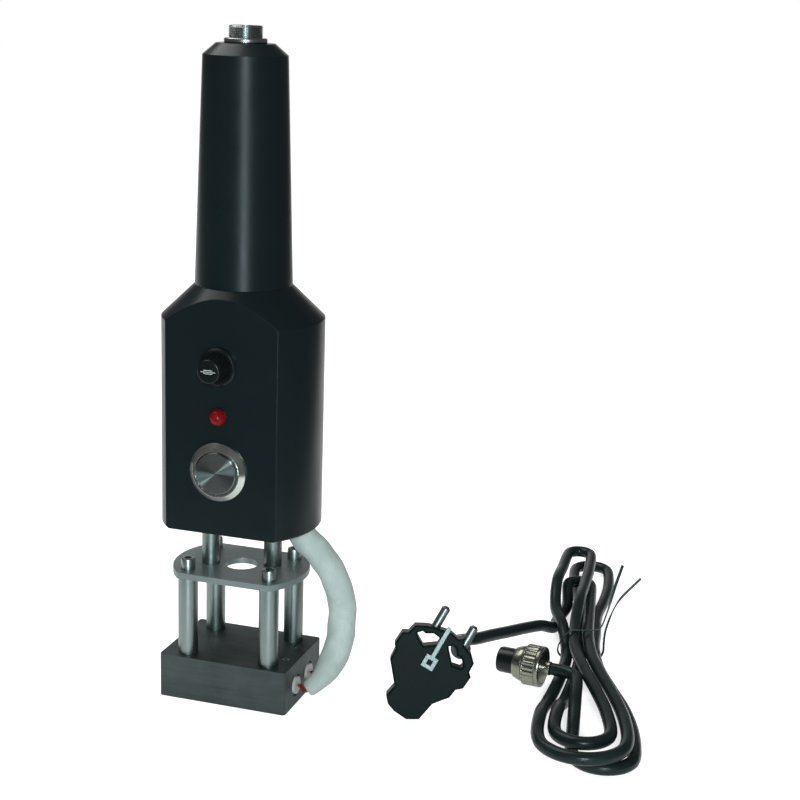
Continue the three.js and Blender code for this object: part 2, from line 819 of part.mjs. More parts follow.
function sleeve() {
  const ring = new THREE.Shape().absarc(0, 0, sleeveRadius, 0, 2 * Math.PI, false);
  ring.holes.push(new THREE.Path().absarc(0, 0, sleeveRadius - sleeveWall, 0, 2 * Math.PI, true));
  const extrudePath = new THREE.CatmullRomCurve3(vectors(sleeveRoute), false, 'centripetal');
  const steps = { steps: 20, curveSegments: 7, extrudePath, bevelEnabled: false };
  addPiece('sleeve', new THREE.ExtrudeGeometry(ring, steps), 'sleeveCloth');
}

// Twin leads side by side in the sleeve, one from each heater
function heaterLeads() {
  const sealFace = blockLength / 2 + sealStandOut + gap;
  const [near, far] = heaterPlaces;
  const inSleeve = sleeveRoute.slice(1, -1).reverse();
  const leadOut = (y) => [[sealFace, y, heaterHeight], [sealFace + heaterLeadRadius, y, heaterHeight]];
  const starts = [
    [...leadOut(far), [39.8, -12.5, 9.1]],
    [...leadOut(near), [37.6, 2, 7.6], [37.2, -4, 6], [38.8, -8.2, 7.4]],
  ];
  starts.forEach((start, i) => {
    const aside = (i - 0.5) * heaterLeadSpacing;
    const inside = inSleeve.map(([x, y, z]) => [x, y + aside, z]);
    const level = coverTop + sleeveInside + 2 + (starts.length - 1 - i) * heaterLeadSpacing;
    const route = [
      ...start,
      ...inside,
      [sleeveEntry.x, sleeveEntry.y + aside, coverTop + sleeveInside],
      [sleeveEntry.x, sleeveEntry.y + aside, level - 1],
      [terminalLength / 2 + 5, terminalY - 2, level],
      [terminalLength / 2 + 2, terminalY, level],
      [terminalLength / 2 + gap, terminalY, level],
    ];
    addPiece(`heater_lead_${i + 1}`, tube(vectors(route), heaterLeadRadius, 40, 6), 'redWire');
  });
}

// Power lead. The hank lies on the ground beside the machine. Its places are given along
// its length from the waist, across it, and in height.
const lead = new THREE.Group();
machine.add(lead);
const waist = new THREE.Vector3(155, 99.3, 0);
const alongDirection = new THREE.Vector3(-0.198, 0.98, 0).normalize();
const acrossDirection = new THREE.Vector3(alongDirection.y, -alongDirection.x, 0);
const middleLayer = lowLayer + layerPitch;
const highLayer = middleLayer + layerPitch;

function hankPoint(along, across, height) {
  const point = waist.clone().addScaledVector(alongDirection, along);
  point.addScaledVector(acrossDirection, across);
  return point.setZ(height);
}

// Eased value between keys of [along, value]
function eased(keys, along) {
  const last = keys.length - 1;
  if (along <= keys[0][0]) {
    return keys[0][1];
  }
  if (along >= keys[last][0]) {
    return keys[last][1];
  }
  const next = keys.findIndex(([place]) => place > along);
  const [from, fromValue] = keys[next - 1];
  const [to, toValue] = keys[next];
  return fromValue + (toValue - fromValue) * THREE.MathUtils.smoothstep(along, from, to);
}

function run(from, to, acrossKeys, heightKeys) {
  const runStep = 24;
  const steps = Math.max(1, Math.round(Math.abs(to - from) / runStep));
  const points = [];
  for (let i = 0; i < steps; i += 1) {
    const along = from + (to - from) * i / steps;
    points.push(hankPoint(along, eased(acrossKeys, along), eased(heightKeys, along)));
  }
  return points;
}

// Turn on a circle between two headings, measured clockwise from along
function turn(centreAlong, centreAcross, radius, height, fromAngle, toAngle) {
  const steps = Math.max(3, Math.round(Math.abs(toAngle - fromAngle) / 30));
  const points = [];
  for (let i = 0; i < steps; i += 1) {
    const angle = THREE.MathUtils.degToRad(fromAngle + (toAngle - fromAngle) * i / steps);
    const along = centreAlong + radius * Math.cos(angle);
    points.push(hankPoint(along, centreAcross + radius * Math.sin(angle), height));
  }
  return points;
}

// Ends of the loops: centre along and across, and radius
const farFolds = [
  { along: 112, across: -2, radius: 6.8, height: highLayer },
  { along: 80, across: -1.5, radius: 6.6, height: middleLayer },
  { along: 124, across: 6, radius: 10, height: lowLayer },
];
const nearFolds = [
  { along: -121, across: 1, radius: 20.8, height: middleLayer },
  { along: -113, across: 1, radius: 13.2, height: middleLayer },
  { along: -121, across: 11, radius: 14.5, height: lowLayer },
];
const spread = -113;
const innerLane = lanePitch / 2;
const bulge = -14.5;
const hankEntry = { along: 36, across: -14 };
const connectorTurn = { along: -54.5, across: -2.3, radius: 9.3, angle: 72.6 };

const leftOf = (fold) => fold.across - fold.radius;
const rightOf = (fold) => fold.across + fold.radius;

function hankPath() {
  const [farA, farB, farC] = farFolds;
  const [nearA, nearB, nearC] = nearFolds;
  const leftHeights = [[-95, middleLayer], [-62, lowLayer]];
  const farTurn = (fold) => turn(fold.along, fold.across, fold.radius, fold.height, -90, 90);
  const nearTurn = (fold) => turn(fold.along, fold.across, fold.radius, fold.height, 90, 270);
  const bend = connectorTurn;
  const bendCentre = bend.across - bend.radius;
  const bendEnd = THREE.MathUtils.degToRad(90 - bend.angle);
  const straight = [0, 2 * cordRadius].map((onwards) => hankPoint(
    bend.along + bend.radius * Math.cos(bendEnd) + onwards * Math.sin(bendEnd),
    bendCentre + bend.radius * Math.sin(bendEnd) - onwards * Math.cos(bendEnd),
    middleLayer,
  ));
  return [
    hankPoint(hankEntry.along, hankEntry.across, lowLayer),
    ...run(hankEntry.along + 2 * cordRadius, farB.along,
      [[hankEntry.along, hankEntry.across], [62, leftOf(farB)]],
      [[56, lowLayer], [76, middleLayer]]),
    ...farTurn(farB),
    ...run(farB.along, nearA.along,
      [[spread, rightOf(nearA)], [0, innerLane], [farB.along, rightOf(farB)]],
      [[0, middleLayer]]),
    ...nearTurn(nearA),
    ...run(nearA.along, farA.along,
      [[spread, leftOf(nearA)], [0, -lanePitch], [6, -lanePitch], [hankEntry.along, bulge], [66, bulge],
        [farA.along, leftOf(farA)]],
      [...leftHeights, [6, lowLayer], [24, middleLayer], [40, middleLayer], [62, highLayer]]),
    ...farTurn(farA),
    ...run(farA.along, nearB.along,
      [[spread, rightOf(nearB)], [0, -innerLane], [farA.along, rightOf(farA)]],
      [[0, middleLayer], [35, highLayer]]),
    ...nearTurn(nearB),
    ...run(nearB.along, farC.along,
      [[spread, leftOf(nearB)], [0, 0], [60, 0], [100, leftOf(farC)]],
      leftHeights),
    ...farTurn(farC),
    ...run(farC.along, nearC.along,
      [[-100, rightOf(nearC)], [0, lanePitch], [40, lanePitch + 1], [100, rightOf(farC)]],
      [[0, lowLayer]]),
    ...nearTurn(nearC),
    ...run(nearC.along, bend.along,
      [[nearC.along, leftOf(nearC)], [bend.along, bend.across]],
      [[-108, lowLayer], [-66, middleLayer]]),
    ...turn(bend.along, bendCentre, bend.radius, middleLayer, 90, 90 - bend.angle),
    ...straight,
  ];
}

// Unbroken tube through the points, its section carried from ring to ring without twist
function ringTube(points, radius, faces) {
  const vertices = [];
  const corners = [];
  const last = points.length - 1;
  const side = new THREE.Vector3(0, 0, 1);
  points.forEach((point, i) => {
    const before = points[Math.max(i - 1, 0)];
    const after = points[Math.min(i + 1, last)];
    const tangent = after.clone().sub(before).normalize();
    side.addScaledVector(tangent, -side.dot(tangent)).normalize();
    const other = tangent.clone().cross(side);
    for (let k = 0; k < faces; k += 1) {
      const angle = 2 * Math.PI * k / faces;
      const place = point.clone().addScaledVector(side, radius * Math.cos(angle));
      place.addScaledVector(other, radius * Math.sin(angle));
      vertices.push(place.x, place.y, place.z);
    }
  });
  for (let i = 0; i < last; i += 1) {
    for (let k = 0; k < faces; k += 1) {
      const next = (k + 1) % faces;
      const [a, b] = [i * faces + k, i * faces + next];
      const [c, d] = [a + faces, b + faces];
      corners.push(a, b, c, b, d, c);
    }
  }
  for (let k = 1; k < faces - 1; k += 1) {
    corners.push(0, k + 1, k);
    corners.push(last * faces, last * faces + k, last * faces + k + 1);
  }
  const geometry = new THREE.BufferGeometry();
  geometry.setAttribute('position', new THREE.Float32BufferAttribute(vertices, 3));
  geometry.setIndex(corners);
  return geometry;
}

// Least distance between surfaces of stretches that are not neighbours along the tube
function leastGap(points, radius) {
  const dense = [];
  let travelled = 0;
  for (let i = 1; i < points.length; i += 1) {
    const length = points[i].distanceTo(points[i - 1]);
    for (let k = 0; k < 6; k += 1) {
      dense.push({ at: travelled + length * k / 6, point: points[i - 1].clone().lerp(points[i], k / 6) });
    }
    travelled += length;
  }
  let least = Infinity;
  dense.forEach((one, i) => {
    for (let j = i + 1; j < dense.length; j += 1) {
      if (dense[j].at - one.at > 8 * radius) {
        least = Math.min(least, one.point.distanceTo(dense[j].point));
      }
    }
  });
  return { least: least - 2 * radius, travelled };
}

function hank() {
  const path = hankPath();
  const { least, travelled } = leastGap(path, cordRadius);
  console.log(`Hank: least gap to itself ${least.toFixed(2)} mm, length ${travelled.toFixed(0)} mm`);
  addPiece('cord_hank', ringTube(path, cordRadius, 6), 'blackRubber', lead);
}

// Plug: its back face stands in a plane that leans away from the viewer's side
const plugGroup = new THREE.Group();
lead.add(plugGroup);
const plugAcross = new THREE.Vector3(0.8735, 0.1481, -0.4639).normalize();
const plugUp = new THREE.Vector3(0.392, 0.3514, 0.8502).normalize();
const plugOut = plugAcross.clone().cross(plugUp).normalize();
const plugTurn = new THREE.Matrix4().makeBasis(plugAcross, plugOut.clone().cross(plugAcross), plugOut);
plugGroup.quaternion.setFromRotationMatrix(plugTurn);
plugGroup.position.set(99.56, 5.13, 28.29);

const plugOutline = [
  [-5.1, -29.2], [2.1, -29.7], [7.4, -26.6], [9.2, -17.1], [11.9, -13.6], [14.8, -10.2], [15.5, -5.4],
  [18.3, -3], [18.8, 3.5], [16.9, 5.1], [16.8, 10], [13.6, 13.2], [8.5, 14.8], [6.8, 18.2], [4.4, 16.4],
  [0, 17.3], [-8.8, 15.5], [-12.1, 14.3], [-17.1, 11.6], [-18.2, 7.1], [-20.8, 5.7], [-21.2, -1],
  [-19.5, -2.9], [-19.2, -8.7], [-10.9, -18.6], [-12.1, -24.6], [-9.3, -27.7],
];
const plugWindows = [
  [[-14.4, 9.2], [-12.5, 11.1], [-10.7, 10.8], [-7.3, 12.8], [-4.1, 12.4], [-2.8, 10.8], [-3.1, 9.1],
    [-8.6, 5.1], [-13.1, 7.6]],
  [[2, 11.1], [3.7, 12.4], [5.9, 12], [8, 8.8], [9.4, 9.7], [12.2, 7.4], [12.9, 6.1], [12.3, 4.8],
    [8.3, 3.9], [3, 9.7]],
];

function polygon(points, Kind) {
  const shape = new Kind();
  points.forEach(([x, y], i) => (i === 0 ? shape.moveTo(x, y) : shape.lineTo(x, y)));
  shape.closePath();
  return shape;
}

function plugBody() {
  const outline = polygon(plugOutline, THREE.Shape);
  outline.holes.push(...plugWindows.map((points) => polygon(points, THREE.Path)));
  const body = new THREE.ExtrudeGeometry(outline, {
    depth: plugThickness - 2 * plugEdge,
    bevelThickness: plugEdge,
    bevelSize: plugEdge,
    bevelOffset: -plugEdge,
    bevelSegments: 1,
  }).translate(0, 0, plugEdge);
  const middle = plugThickness / 2;
  const rootRadius = plugPinRadius + gap;
  const roots = plugPins.map(({ x, y }) => {
    const root = new THREE.CylinderGeometry(rootRadius, rootRadius, 4 * plugPinRoot, facesSmall);
    return root.translate(x, y + plugPinRoot, middle);
  });
  addPiece('plug_body', cut(body, roots), 'blackPlastic', plugGroup);
  plugPins.forEach(({ name, x, y, tip }) => {
    const foot = y - plugPinRoot + gap;
    const round = plugPinRadius / 2;
    const pin = new THREE.LatheGeometry([
      new THREE.Vector2(0, foot),
      new THREE.Vector2(plugPinRadius, foot),
      new THREE.Vector2(plugPinRadius, tip - round),
      new THREE.Vector2(plugPinRadius - round, tip),
      new THREE.Vector2(0, tip),
    ], facesSmall);
    addPiece(name, pin.translate(x, 0, middle), 'brightMetal', plugGroup);
  });
}

// Earth contact: a square frame and a strip on the face of the plug
function earthContact() {
  const { x: frameX, y: frameY } = earthPlace;
  const half = earthFrame / 2;
  const outline = polygon([
    [frameX - half, frameY - half], [frameX + half, frameY - half], [frameX + half, frameY + half],
    [earthStripWidth / 2 + frameX, frameY + half], [earthStripWidth / 2 + frameX, earthStripTop],
    [frameX - earthStripWidth / 2, earthStripTop], [frameX - earthStripWidth / 2, frameY + half],
    [frameX - half, frameY + half],
  ], THREE.Shape);
  const slot = earthWindow / 2;
  outline.holes.push(polygon([
    [frameX - slot, frameY - slot], [frameX - slot, frameY + slot],
    [frameX + slot, frameY + slot], [frameX + slot, frameY - slot],
  ], THREE.Path));
  const contact = new THREE.ExtrudeGeometry(outline, { depth: earthThickness, bevelEnabled: false });
  addPiece('plug_earth', contact.translate(0, 0, plugThickness + gap), 'brightMetal', plugGroup);
}

const cordExit = { x: 9, y: 11.5 };

function strainRelief() {
  const relief = turned([
    [0, -gap - reliefLength],
    [reliefEndRadius, -gap - reliefLength],
    [reliefBaseRadius, -gap],
    [0, -gap],
  ], facesPost);
  addPiece('plug_relief', relief.translate(cordExit.x, cordExit.y, 0), 'blackRubber', plugGroup);
}

// Stretch from the plug down to the hank
function cordRun() {
  plugGroup.updateMatrix();
  const start = new THREE.Vector3(cordExit.x, cordExit.y, -2 * gap - reliefLength);
  start.applyMatrix4(plugGroup.matrix);
  const away = plugOut.clone().negate();
  const end = hankPoint(hankEntry.along - 2 * gap, hankEntry.across, lowLayer);
  const route = [
    start,
    start.clone().addScaledVector(away, 2 * cordRadius),
    ...vectors([[108.5, 52, 22.6], [113.5, 68, 19.3], [119, 84, 16], [124.5, 100, 12.8]]),
    hankPoint(20, -21.5, 9.4),
    hankPoint(28.5, -15.6, 5.2),
    hankPoint(32.5, -14.1, lowLayer),
    end,
  ];
  addPiece('cord_run', tube(route, cordRadius, 16, 10), 'blackRubber', lead);
}

// Tie wire round the waist, its two ends standing up on the right
function hankTie() {
  const route = [
    [27, 20.5, 45], [17, 16, 33], [8, 13, 24], [2, 9.5, 17.4], [1, 5, 16.3], [0, 0, 16.3],
    [-0.5, -5.5, 16], [-1, -10, 11.2], [-1, -12, 7], [-1, -12.1, 3.8], [-0.5, -10.2, 1.2],
    [0, -7.3, 0.7], [0.5, 0, 0.7], [1, 7.3, 0.7], [1, 10.4, 1.3], [1.5, 12.1, 4.4], [2.5, 12.2, 9],
    [4.6, 12.9, 16], [12, 18.5, 29], [19, 30.3, 41],
  ];
  const points = route.map(([along, across, height]) => hankPoint(along, across, height));
  addPiece('hank_tie', tube(points, tieRadius, 44, 5), 'steel', lead);
}

// Connector that screws on to the socket of the handle, lying on its side
function connector() {
  const connectorGroup = new THREE.Group();
  lead.add(connectorGroup);
  const heading = THREE.MathUtils.degToRad(connectorTurn.angle);
  const axis = alongDirection.clone().multiplyScalar(Math.cos(heading));
  axis.addScaledVector(acrossDirection, -Math.sin(heading));
  const rear = hankPath().at(-1).clone().addScaledVector(axis, gap + glandLength);
  connectorGroup.position.copy(rear);
  connectorGroup.quaternion.setFromUnitVectors(new THREE.Vector3(0, 0, 1), axis);
  const boreBottom = connectorLength - connectorBoreDepth;
  const shell = turned([
    [0, -glandLength],
    [glandRadius, -glandLength],
    [glandRadius, 0],
    [connectorRadius, 0],
    [connectorRadius, ringLength + gap],
    [connectorShoulderRadius, ringLength + gap],
    [connectorEndRadius, connectorLength],
    [connectorBore, connectorLength],
    [connectorBore, boreBottom],
    [0, boreBottom],
  ], facesPost);
  addPiece('connector_shell', shell, 'brightMetal', connectorGroup);
  const grooves = [];
  for (let i = 0; i < ringGrooves; i += 1) {
    const angle = 2 * Math.PI * i / ringGrooves;
    const [x, y] = [ringRadius * Math.cos(angle), ringRadius * Math.sin(angle)];
    grooves.push(rod(ringGrooveRadius, 1.2, ringLength - 1.2, x, y, 6));
  }
  const ring = turnedRing([
    [connectorRadius + gap, 0],
    [ringRadius, 0],
    [ringRadius, ringLength],
    [connectorRadius + gap, ringLength],
  ], ringGrooves * 2);
  addPiece('connector_ring', cut(ring, grooves), 'brightMetal', connectorGroup);
  const noseEnd = connectorLength + noseLength;
  const nose = turned([
    [0, boreBottom + gap],
    [connectorBore - gap, boreBottom + gap],
    [connectorBore - gap, connectorLength + gap],
    [insertRadius, connectorLength + gap],
    [insertRadius, noseEnd - noseEdge],
    [insertRadius - noseEdge * roundMiddle, noseEnd - noseEdge * roundMiddle],
    [insertRadius - noseEdge, noseEnd],
    [0, noseEnd],
  ], facesPost);
  const holes = contactPlaces().map(({ x, y }) => (
    rod(contactRadius + gap / 2, noseEnd - contactRise, noseEnd + 1, x, y, facesSmall / 2)
  ));
  addPiece('connector_insert', cut(nose, holes), 'blackPlastic', connectorGroup);
}

heatingBlock();
heaters();
lowerPosts();
midPlate();
plateScrews();
upperPosts();
bodyShell();
bottomCover();
handle();
socket();
fuse();
lamp();
button();
terminalBlock();
innerWires();
sleeve();
heaterLeads();
plugBody();
earthContact();
strainRelief();
cordRun();
hank();
hankTie();
connector();

export default machine;
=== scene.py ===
"""Looks of the handheld embossing machine and its power lead, in metres, +Z up."""

import math

import bmesh
import bpy
from mathutils import Matrix, Vector


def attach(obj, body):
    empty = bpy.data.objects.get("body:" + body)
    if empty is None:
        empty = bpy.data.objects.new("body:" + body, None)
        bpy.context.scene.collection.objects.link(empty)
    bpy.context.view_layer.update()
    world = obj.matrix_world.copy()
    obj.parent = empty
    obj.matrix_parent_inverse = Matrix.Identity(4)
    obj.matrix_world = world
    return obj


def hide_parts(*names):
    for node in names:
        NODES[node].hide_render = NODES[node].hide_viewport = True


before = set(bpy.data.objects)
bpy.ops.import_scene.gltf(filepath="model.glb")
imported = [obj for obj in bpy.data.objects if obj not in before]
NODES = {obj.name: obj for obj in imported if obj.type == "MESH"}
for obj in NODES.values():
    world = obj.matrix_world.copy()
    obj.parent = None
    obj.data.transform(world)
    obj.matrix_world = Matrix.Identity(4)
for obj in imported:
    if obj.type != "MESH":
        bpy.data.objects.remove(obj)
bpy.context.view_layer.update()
MM = 0.001


def mm(point):
    return Vector(point) * MM


# Camera of the photograph: its place in millimetres, its axes, and its lens on a 36 mm sensor

CAMERA_PLACE = (301.95, -710.46, 350.35)
CAMERA_RIGHT = (0.9516, 0.3058, 0.0312)
CAMERA_FORWARD = (-0.2889, 0.9244, -0.2489)
SENSOR_WIDTH = 36
LENS = 73.44


def add_camera():
    data = bpy.data.cameras.new("camera")
    data.sensor_fit = "HORIZONTAL"
    data.sensor_width = SENSOR_WIDTH
    data.lens = LENS
    data.clip_start = 0.01
    data.clip_end = 20
    right = Vector(CAMERA_RIGHT).normalized()
    forward = Vector(CAMERA_FORWARD)
    forward = (forward - right * forward.dot(right)).normalized()
    up = right.cross(forward)
    turn = Matrix((right, up, -forward)).transposed().to_4x4()
    holder = bpy.data.objects.new("camera", data)
    holder.matrix_world = Matrix.Translation(mm(CAMERA_PLACE)) @ turn
    bpy.context.scene.collection.objects.link(holder)
    bpy.context.scene.camera = holder


add_camera()


# Materials. Their noise is in object coordinates, which are metres in the row frame.

class Surface:
    """A Principled material with helpers that add its colour, gloss and relief."""

    def __init__(self, name, **values):
        self.material = bpy.data.materials.new(name)
        self.material.use_nodes = True
        self.tree = self.material.node_tree
        self.shader = self.tree.nodes["Principled BSDF"]
        for socket, value in values.items():
            self.shader.inputs[socket.replace("_", " ")].default_value = value
        self.coordinates = self.node("ShaderNodeTexCoord").outputs["Object"]

    def node(self, kind, **settings):
        made = self.tree.nodes.new(kind)
        for key, value in settings.items():
            setattr(made, key, value)
        return made

    def link(self, source, target):
        self.tree.links.new(source, target)

    def noise(self, scale, detail=3, stretch=(1, 1, 1), roughness=0.5):
        mapping = self.node("ShaderNodeMapping")
        mapping.inputs["Scale"].default_value = stretch
        self.link(self.coordinates, mapping.inputs["Vector"])
        made = self.node("ShaderNodeTexNoise")
        made.inputs["Scale"].default_value = scale
        made.inputs["Detail"].default_value = detail
        made.inputs["Roughness"].default_value = roughness
        self.link(mapping.outputs["Vector"], made.inputs["Vector"])
        return made.outputs["Fac"]

    def ramp(self, factor, low, high, start=0.3, end=0.7):
        made = self.node("ShaderNodeMapRange")
        made.inputs["From Min"].default_value = start
        made.inputs["From Max"].default_value = end
        made.inputs["To Min"].default_value = low
        made.inputs["To Max"].default_value = high
        self.link(factor, made.inputs["Value"])
        return made.outputs["Result"]

    def feed(self, socket, value):
        """Sets a colour or a number on a node's input, or links another node's output to it."""
        if isinstance(value, tuple):
            socket.default_value = (*value, 1)
        elif isinstance(value, (int, float)):
            socket.default_value = value
        else:
            self.link(value, socket)

    def math(self, operation, *operands):
        made = self.node("ShaderNodeMath", operation=operation)
        for socket, value in zip(made.inputs, operands):
            self.feed(socket, value)
        return made.outputs[0]

    def mix(self, factor, first, second):
        made = self.node("ShaderNodeMix", data_type="RGBA")
        self.link(factor, made.inputs["Factor"])
        self.feed(made.inputs["A"], first)
        self.feed(made.inputs["B"], second)
        return made.outputs["Result"]

    def colour(self, source):
        self.link(source, self.shader.inputs["Base Color"])

    def gloss(self, source):
        self.link(source, self.shader.inputs["Roughness"])

    def relief(self, height, distance, edge=0.0):
        """Fine relief of that depth, over edges that look rounded to that radius, in metres."""
        bump = self.node("ShaderNodeBump")
        bump.inputs["Strength"].default_value = 1
        bump.inputs["Distance"].default_value = distance
        self.link(height, bump.inputs["Height"])
        if edge:
            rounded = self.node("ShaderNodeBevel", samples=4)
            rounded.inputs["Radius"].default_value = edge
            self.link(rounded.outputs["Normal"], bump.inputs["Normal"])
        self.link(bump.outputs["Normal"], self.shader.inputs["Normal"])


def shades(colour, spread):
    """A darker and a lighter version of a colour."""
    return tuple(part * (1 - spread) for part in colour), tuple(part * (1 + spread) for part in colour)


def plain_surface(name, colour, roughness, metallic=0.0, grain=900, relief=0.00002, edge=0.0003, **values):
    """Surface with slight cloudiness in colour and gloss, and a fine grain."""
    surface = Surface(name, Metallic=metallic, **values)
    clouds = surface.noise(scale=38, detail=4)
    surface.colour(surface.mix(clouds, *shades(colour, spread=0.12)))
    fine = surface.noise(scale=grain, detail=4)
    surface.gloss(surface.ramp(fine, roughness * 0.86, roughness * 1.14))
    surface.relief(fine, relief, edge)
    return surface.material


def coated_metal():
    """Satin black coat: fine orange peel over faint clouds."""
    surface = Surface("black_coat", Metallic=0.0, Specular_IOR_Level=0.22)
    clouds = surface.noise(scale=20, detail=5)
    surface.colour(surface.mix(clouds, (0.0042, 0.0088, 0.01), (0.0066, 0.012, 0.0136)))
    peel = surface.noise(scale=1900, detail=2)
    surface.gloss(surface.ramp(surface.noise(scale=60, detail=6), 0.27, 0.33))
    surface.relief(peel, 0.000012, edge=0.0006)
    return surface.material


def block_steel():
    """Dark machined steel with faint milling lines and rubbed patches."""
    surface = Surface("block_steel", Metallic=0.85)
    lines = surface.noise(scale=260, detail=6, stretch=(0.08, 1, 1.4), roughness=0.7)
    patches = surface.noise(scale=55, detail=6, roughness=0.6)
    share = 0.45
    lined = surface.math("MULTIPLY", lines, share)
    tone = surface.math("ADD", lined, surface.math("MULTIPLY", patches, 1 - share))
    surface.colour(surface.mix(surface.ramp(tone, 0, 1), (0.042, 0.054, 0.053), (0.076, 0.094, 0.092)))
    surface.gloss(surface.ramp(tone, 0.62, 0.46))
    surface.relief(lines, 0.00005, edge=0.0004)
    return surface.material


def drawn_steel(name, colour, roughness, stretch=(1, 1, 1), grain=1400, metallic=1.0):
    """Steel with a fine grain, drawn out to lines along the axis where the stretch is small."""
    surface = Surface(name, Metallic=metallic)
    lines = surface.noise(scale=grain, detail=4, stretch=stretch, roughness=0.65)
    surface.colour(surface.mix(surface.noise(scale=70, detail=3), *shades(colour, spread=0.1)))
    surface.gloss(surface.ramp(lines, roughness * 0.8, roughness * 1.2))
    surface.relief(lines, 0.00001, edge=0.0003)
    return surface.material


def red_lens():
    """Clear red plastic over small moulded facets, with a faint painted red glow."""
    surface = Surface("red_lens", Metallic=0.0, Roughness=0.18, Specular_IOR_Level=0.12,
                      Emission_Color=(0.6, 0.01, 0.015, 1), Emission_Strength=0.02)
    facets = surface.node("ShaderNodeTexVoronoi", feature="F1")
    facets.inputs["Scale"].default_value = 700
    surface.link(surface.coordinates, facets.inputs["Vector"])
    surface.colour(surface.mix(facets.outputs["Distance"], (0.1, 0.003, 0.004), (0.2, 0.006, 0.008)))
    surface.relief(facets.outputs["Distance"], 0.00001)
    return surface.material


def woven_cloth():
    """Pale glass-fibre sleeve: two crossing sets of fine braid strands in the tube's own coordinates."""
    surface = Surface("sleeve_cloth", Metallic=0.0, Sheen_Weight=0.2, Sheen_Roughness=0.5)
    along = surface.node("ShaderNodeUVMap", uv_map="sleeve").outputs["UV"]
    split = surface.node("ShaderNodeSeparateXYZ")
    surface.link(along, split.inputs["Vector"])
    strands_round = 44
    strands_down = 90
    round_tube = surface.math("MULTIPLY", split.outputs["X"], 2 * math.pi * strands_round)
    down_tube = surface.math("MULTIPLY", split.outputs["Y"], 2 * math.pi * strands_down)
    one = surface.math("SINE", surface.math("ADD", round_tube, down_tube))
    other = surface.math("SINE", surface.math("SUBTRACT", round_tube, down_tube))
    weave = surface.math("MAXIMUM", one, other)
    stains = surface.noise(scale=60, detail=5, roughness=0.6)
    base = surface.mix(surface.ramp(stains, 0, 1, 0.35, 0.68), (0.33, 0.385, 0.355), (0.54, 0.62, 0.585))
    fibres = surface.noise(scale=900, detail=3, stretch=(1, 1, 0.3))
    base = surface.mix(surface.ramp(fibres, 0, 0.35, 0.4, 0.75), base, (0.3, 0.35, 0.325))
    # Painted shade over the whole inside of the tube, and darker towards the sleeve's low end
    darker_low_end_and_inside = surface.ramp(split.outputs["Y"], 0, 0.4, 0.34, 0.5)
    base = surface.mix(darker_low_end_and_inside, base, (0.26, 0.3, 0.285))
    surface.colour(surface.mix(surface.ramp(weave, 0, 1, -0.6, 0.9), (0.36, 0.42, 0.395), base))
    surface.gloss(surface.ramp(weave, 0.85, 0.7, -1, 1))
    unevenness = surface.noise(scale=420, detail=3)
    height = surface.math("ADD", surface.math("MULTIPLY", weave, 0.4), unevenness)
    surface.relief(height, 0.00006)
    return surface.material


def cord_rubber():
    """Smooth black cord jacket with faint bloom."""
    surface = Surface("black_rubber", Metallic=0.0, Specular_IOR_Level=0.2)
    bloom = surface.noise(scale=90, detail=5, roughness=0.6)
    dark = (0.006, 0.0115, 0.0117)
    pale = (0.011, 0.0195, 0.0195)
    surface.colour(surface.mix(surface.ramp(bloom, 0, 1), dark, pale))
    surface.gloss(surface.ramp(bloom, 0.24, 0.38))
    surface.relief(surface.noise(scale=800, detail=3), 0.00002)
    return surface.material


BUTTON_CENTRE = (-0.001, 0, 0.1214)


def turned_face():
    """Button face: fine circles round the button's axis, which catch light in two opposite sectors."""
    surface = Surface("button_face_metal", Metallic=1.0, Anisotropic=1.0)
    outward = surface.node("ShaderNodeVectorMath", operation="SUBTRACT")
    surface.link(surface.coordinates, outward.inputs[0])
    outward.inputs[1].default_value = BUTTON_CENTRE
    flat = surface.node("ShaderNodeVectorMath", operation="MULTIPLY")
    surface.link(outward.outputs["Vector"], flat.inputs[0])
    flat.inputs[1].default_value = (1, 0, 1)
    surface.link(flat.outputs["Vector"], surface.shader.inputs["Tangent"])
    distance = surface.node("ShaderNodeVectorMath", operation="LENGTH")
    surface.link(flat.outputs["Vector"], distance.inputs[0])
    rings_per_metre = 5200
    turn = surface.math("MULTIPLY", distance.outputs["Value"], 2 * math.pi * rings_per_metre)
    rings = surface.math("MULTIPLY", surface.math("SINE", turn), 0.4)
    fine = surface.math("ADD", rings, surface.noise(scale=1500, detail=2))
    clouds = surface.noise(scale=300, detail=3)
    surface.colour(surface.mix(clouds, (0.16, 0.185, 0.18), (0.22, 0.25, 0.245)))
    surface.gloss(surface.ramp(fine, 0.27, 0.31, -0.4, 1.4))
    surface.relief(fine, 0.0000025)
    return surface.material


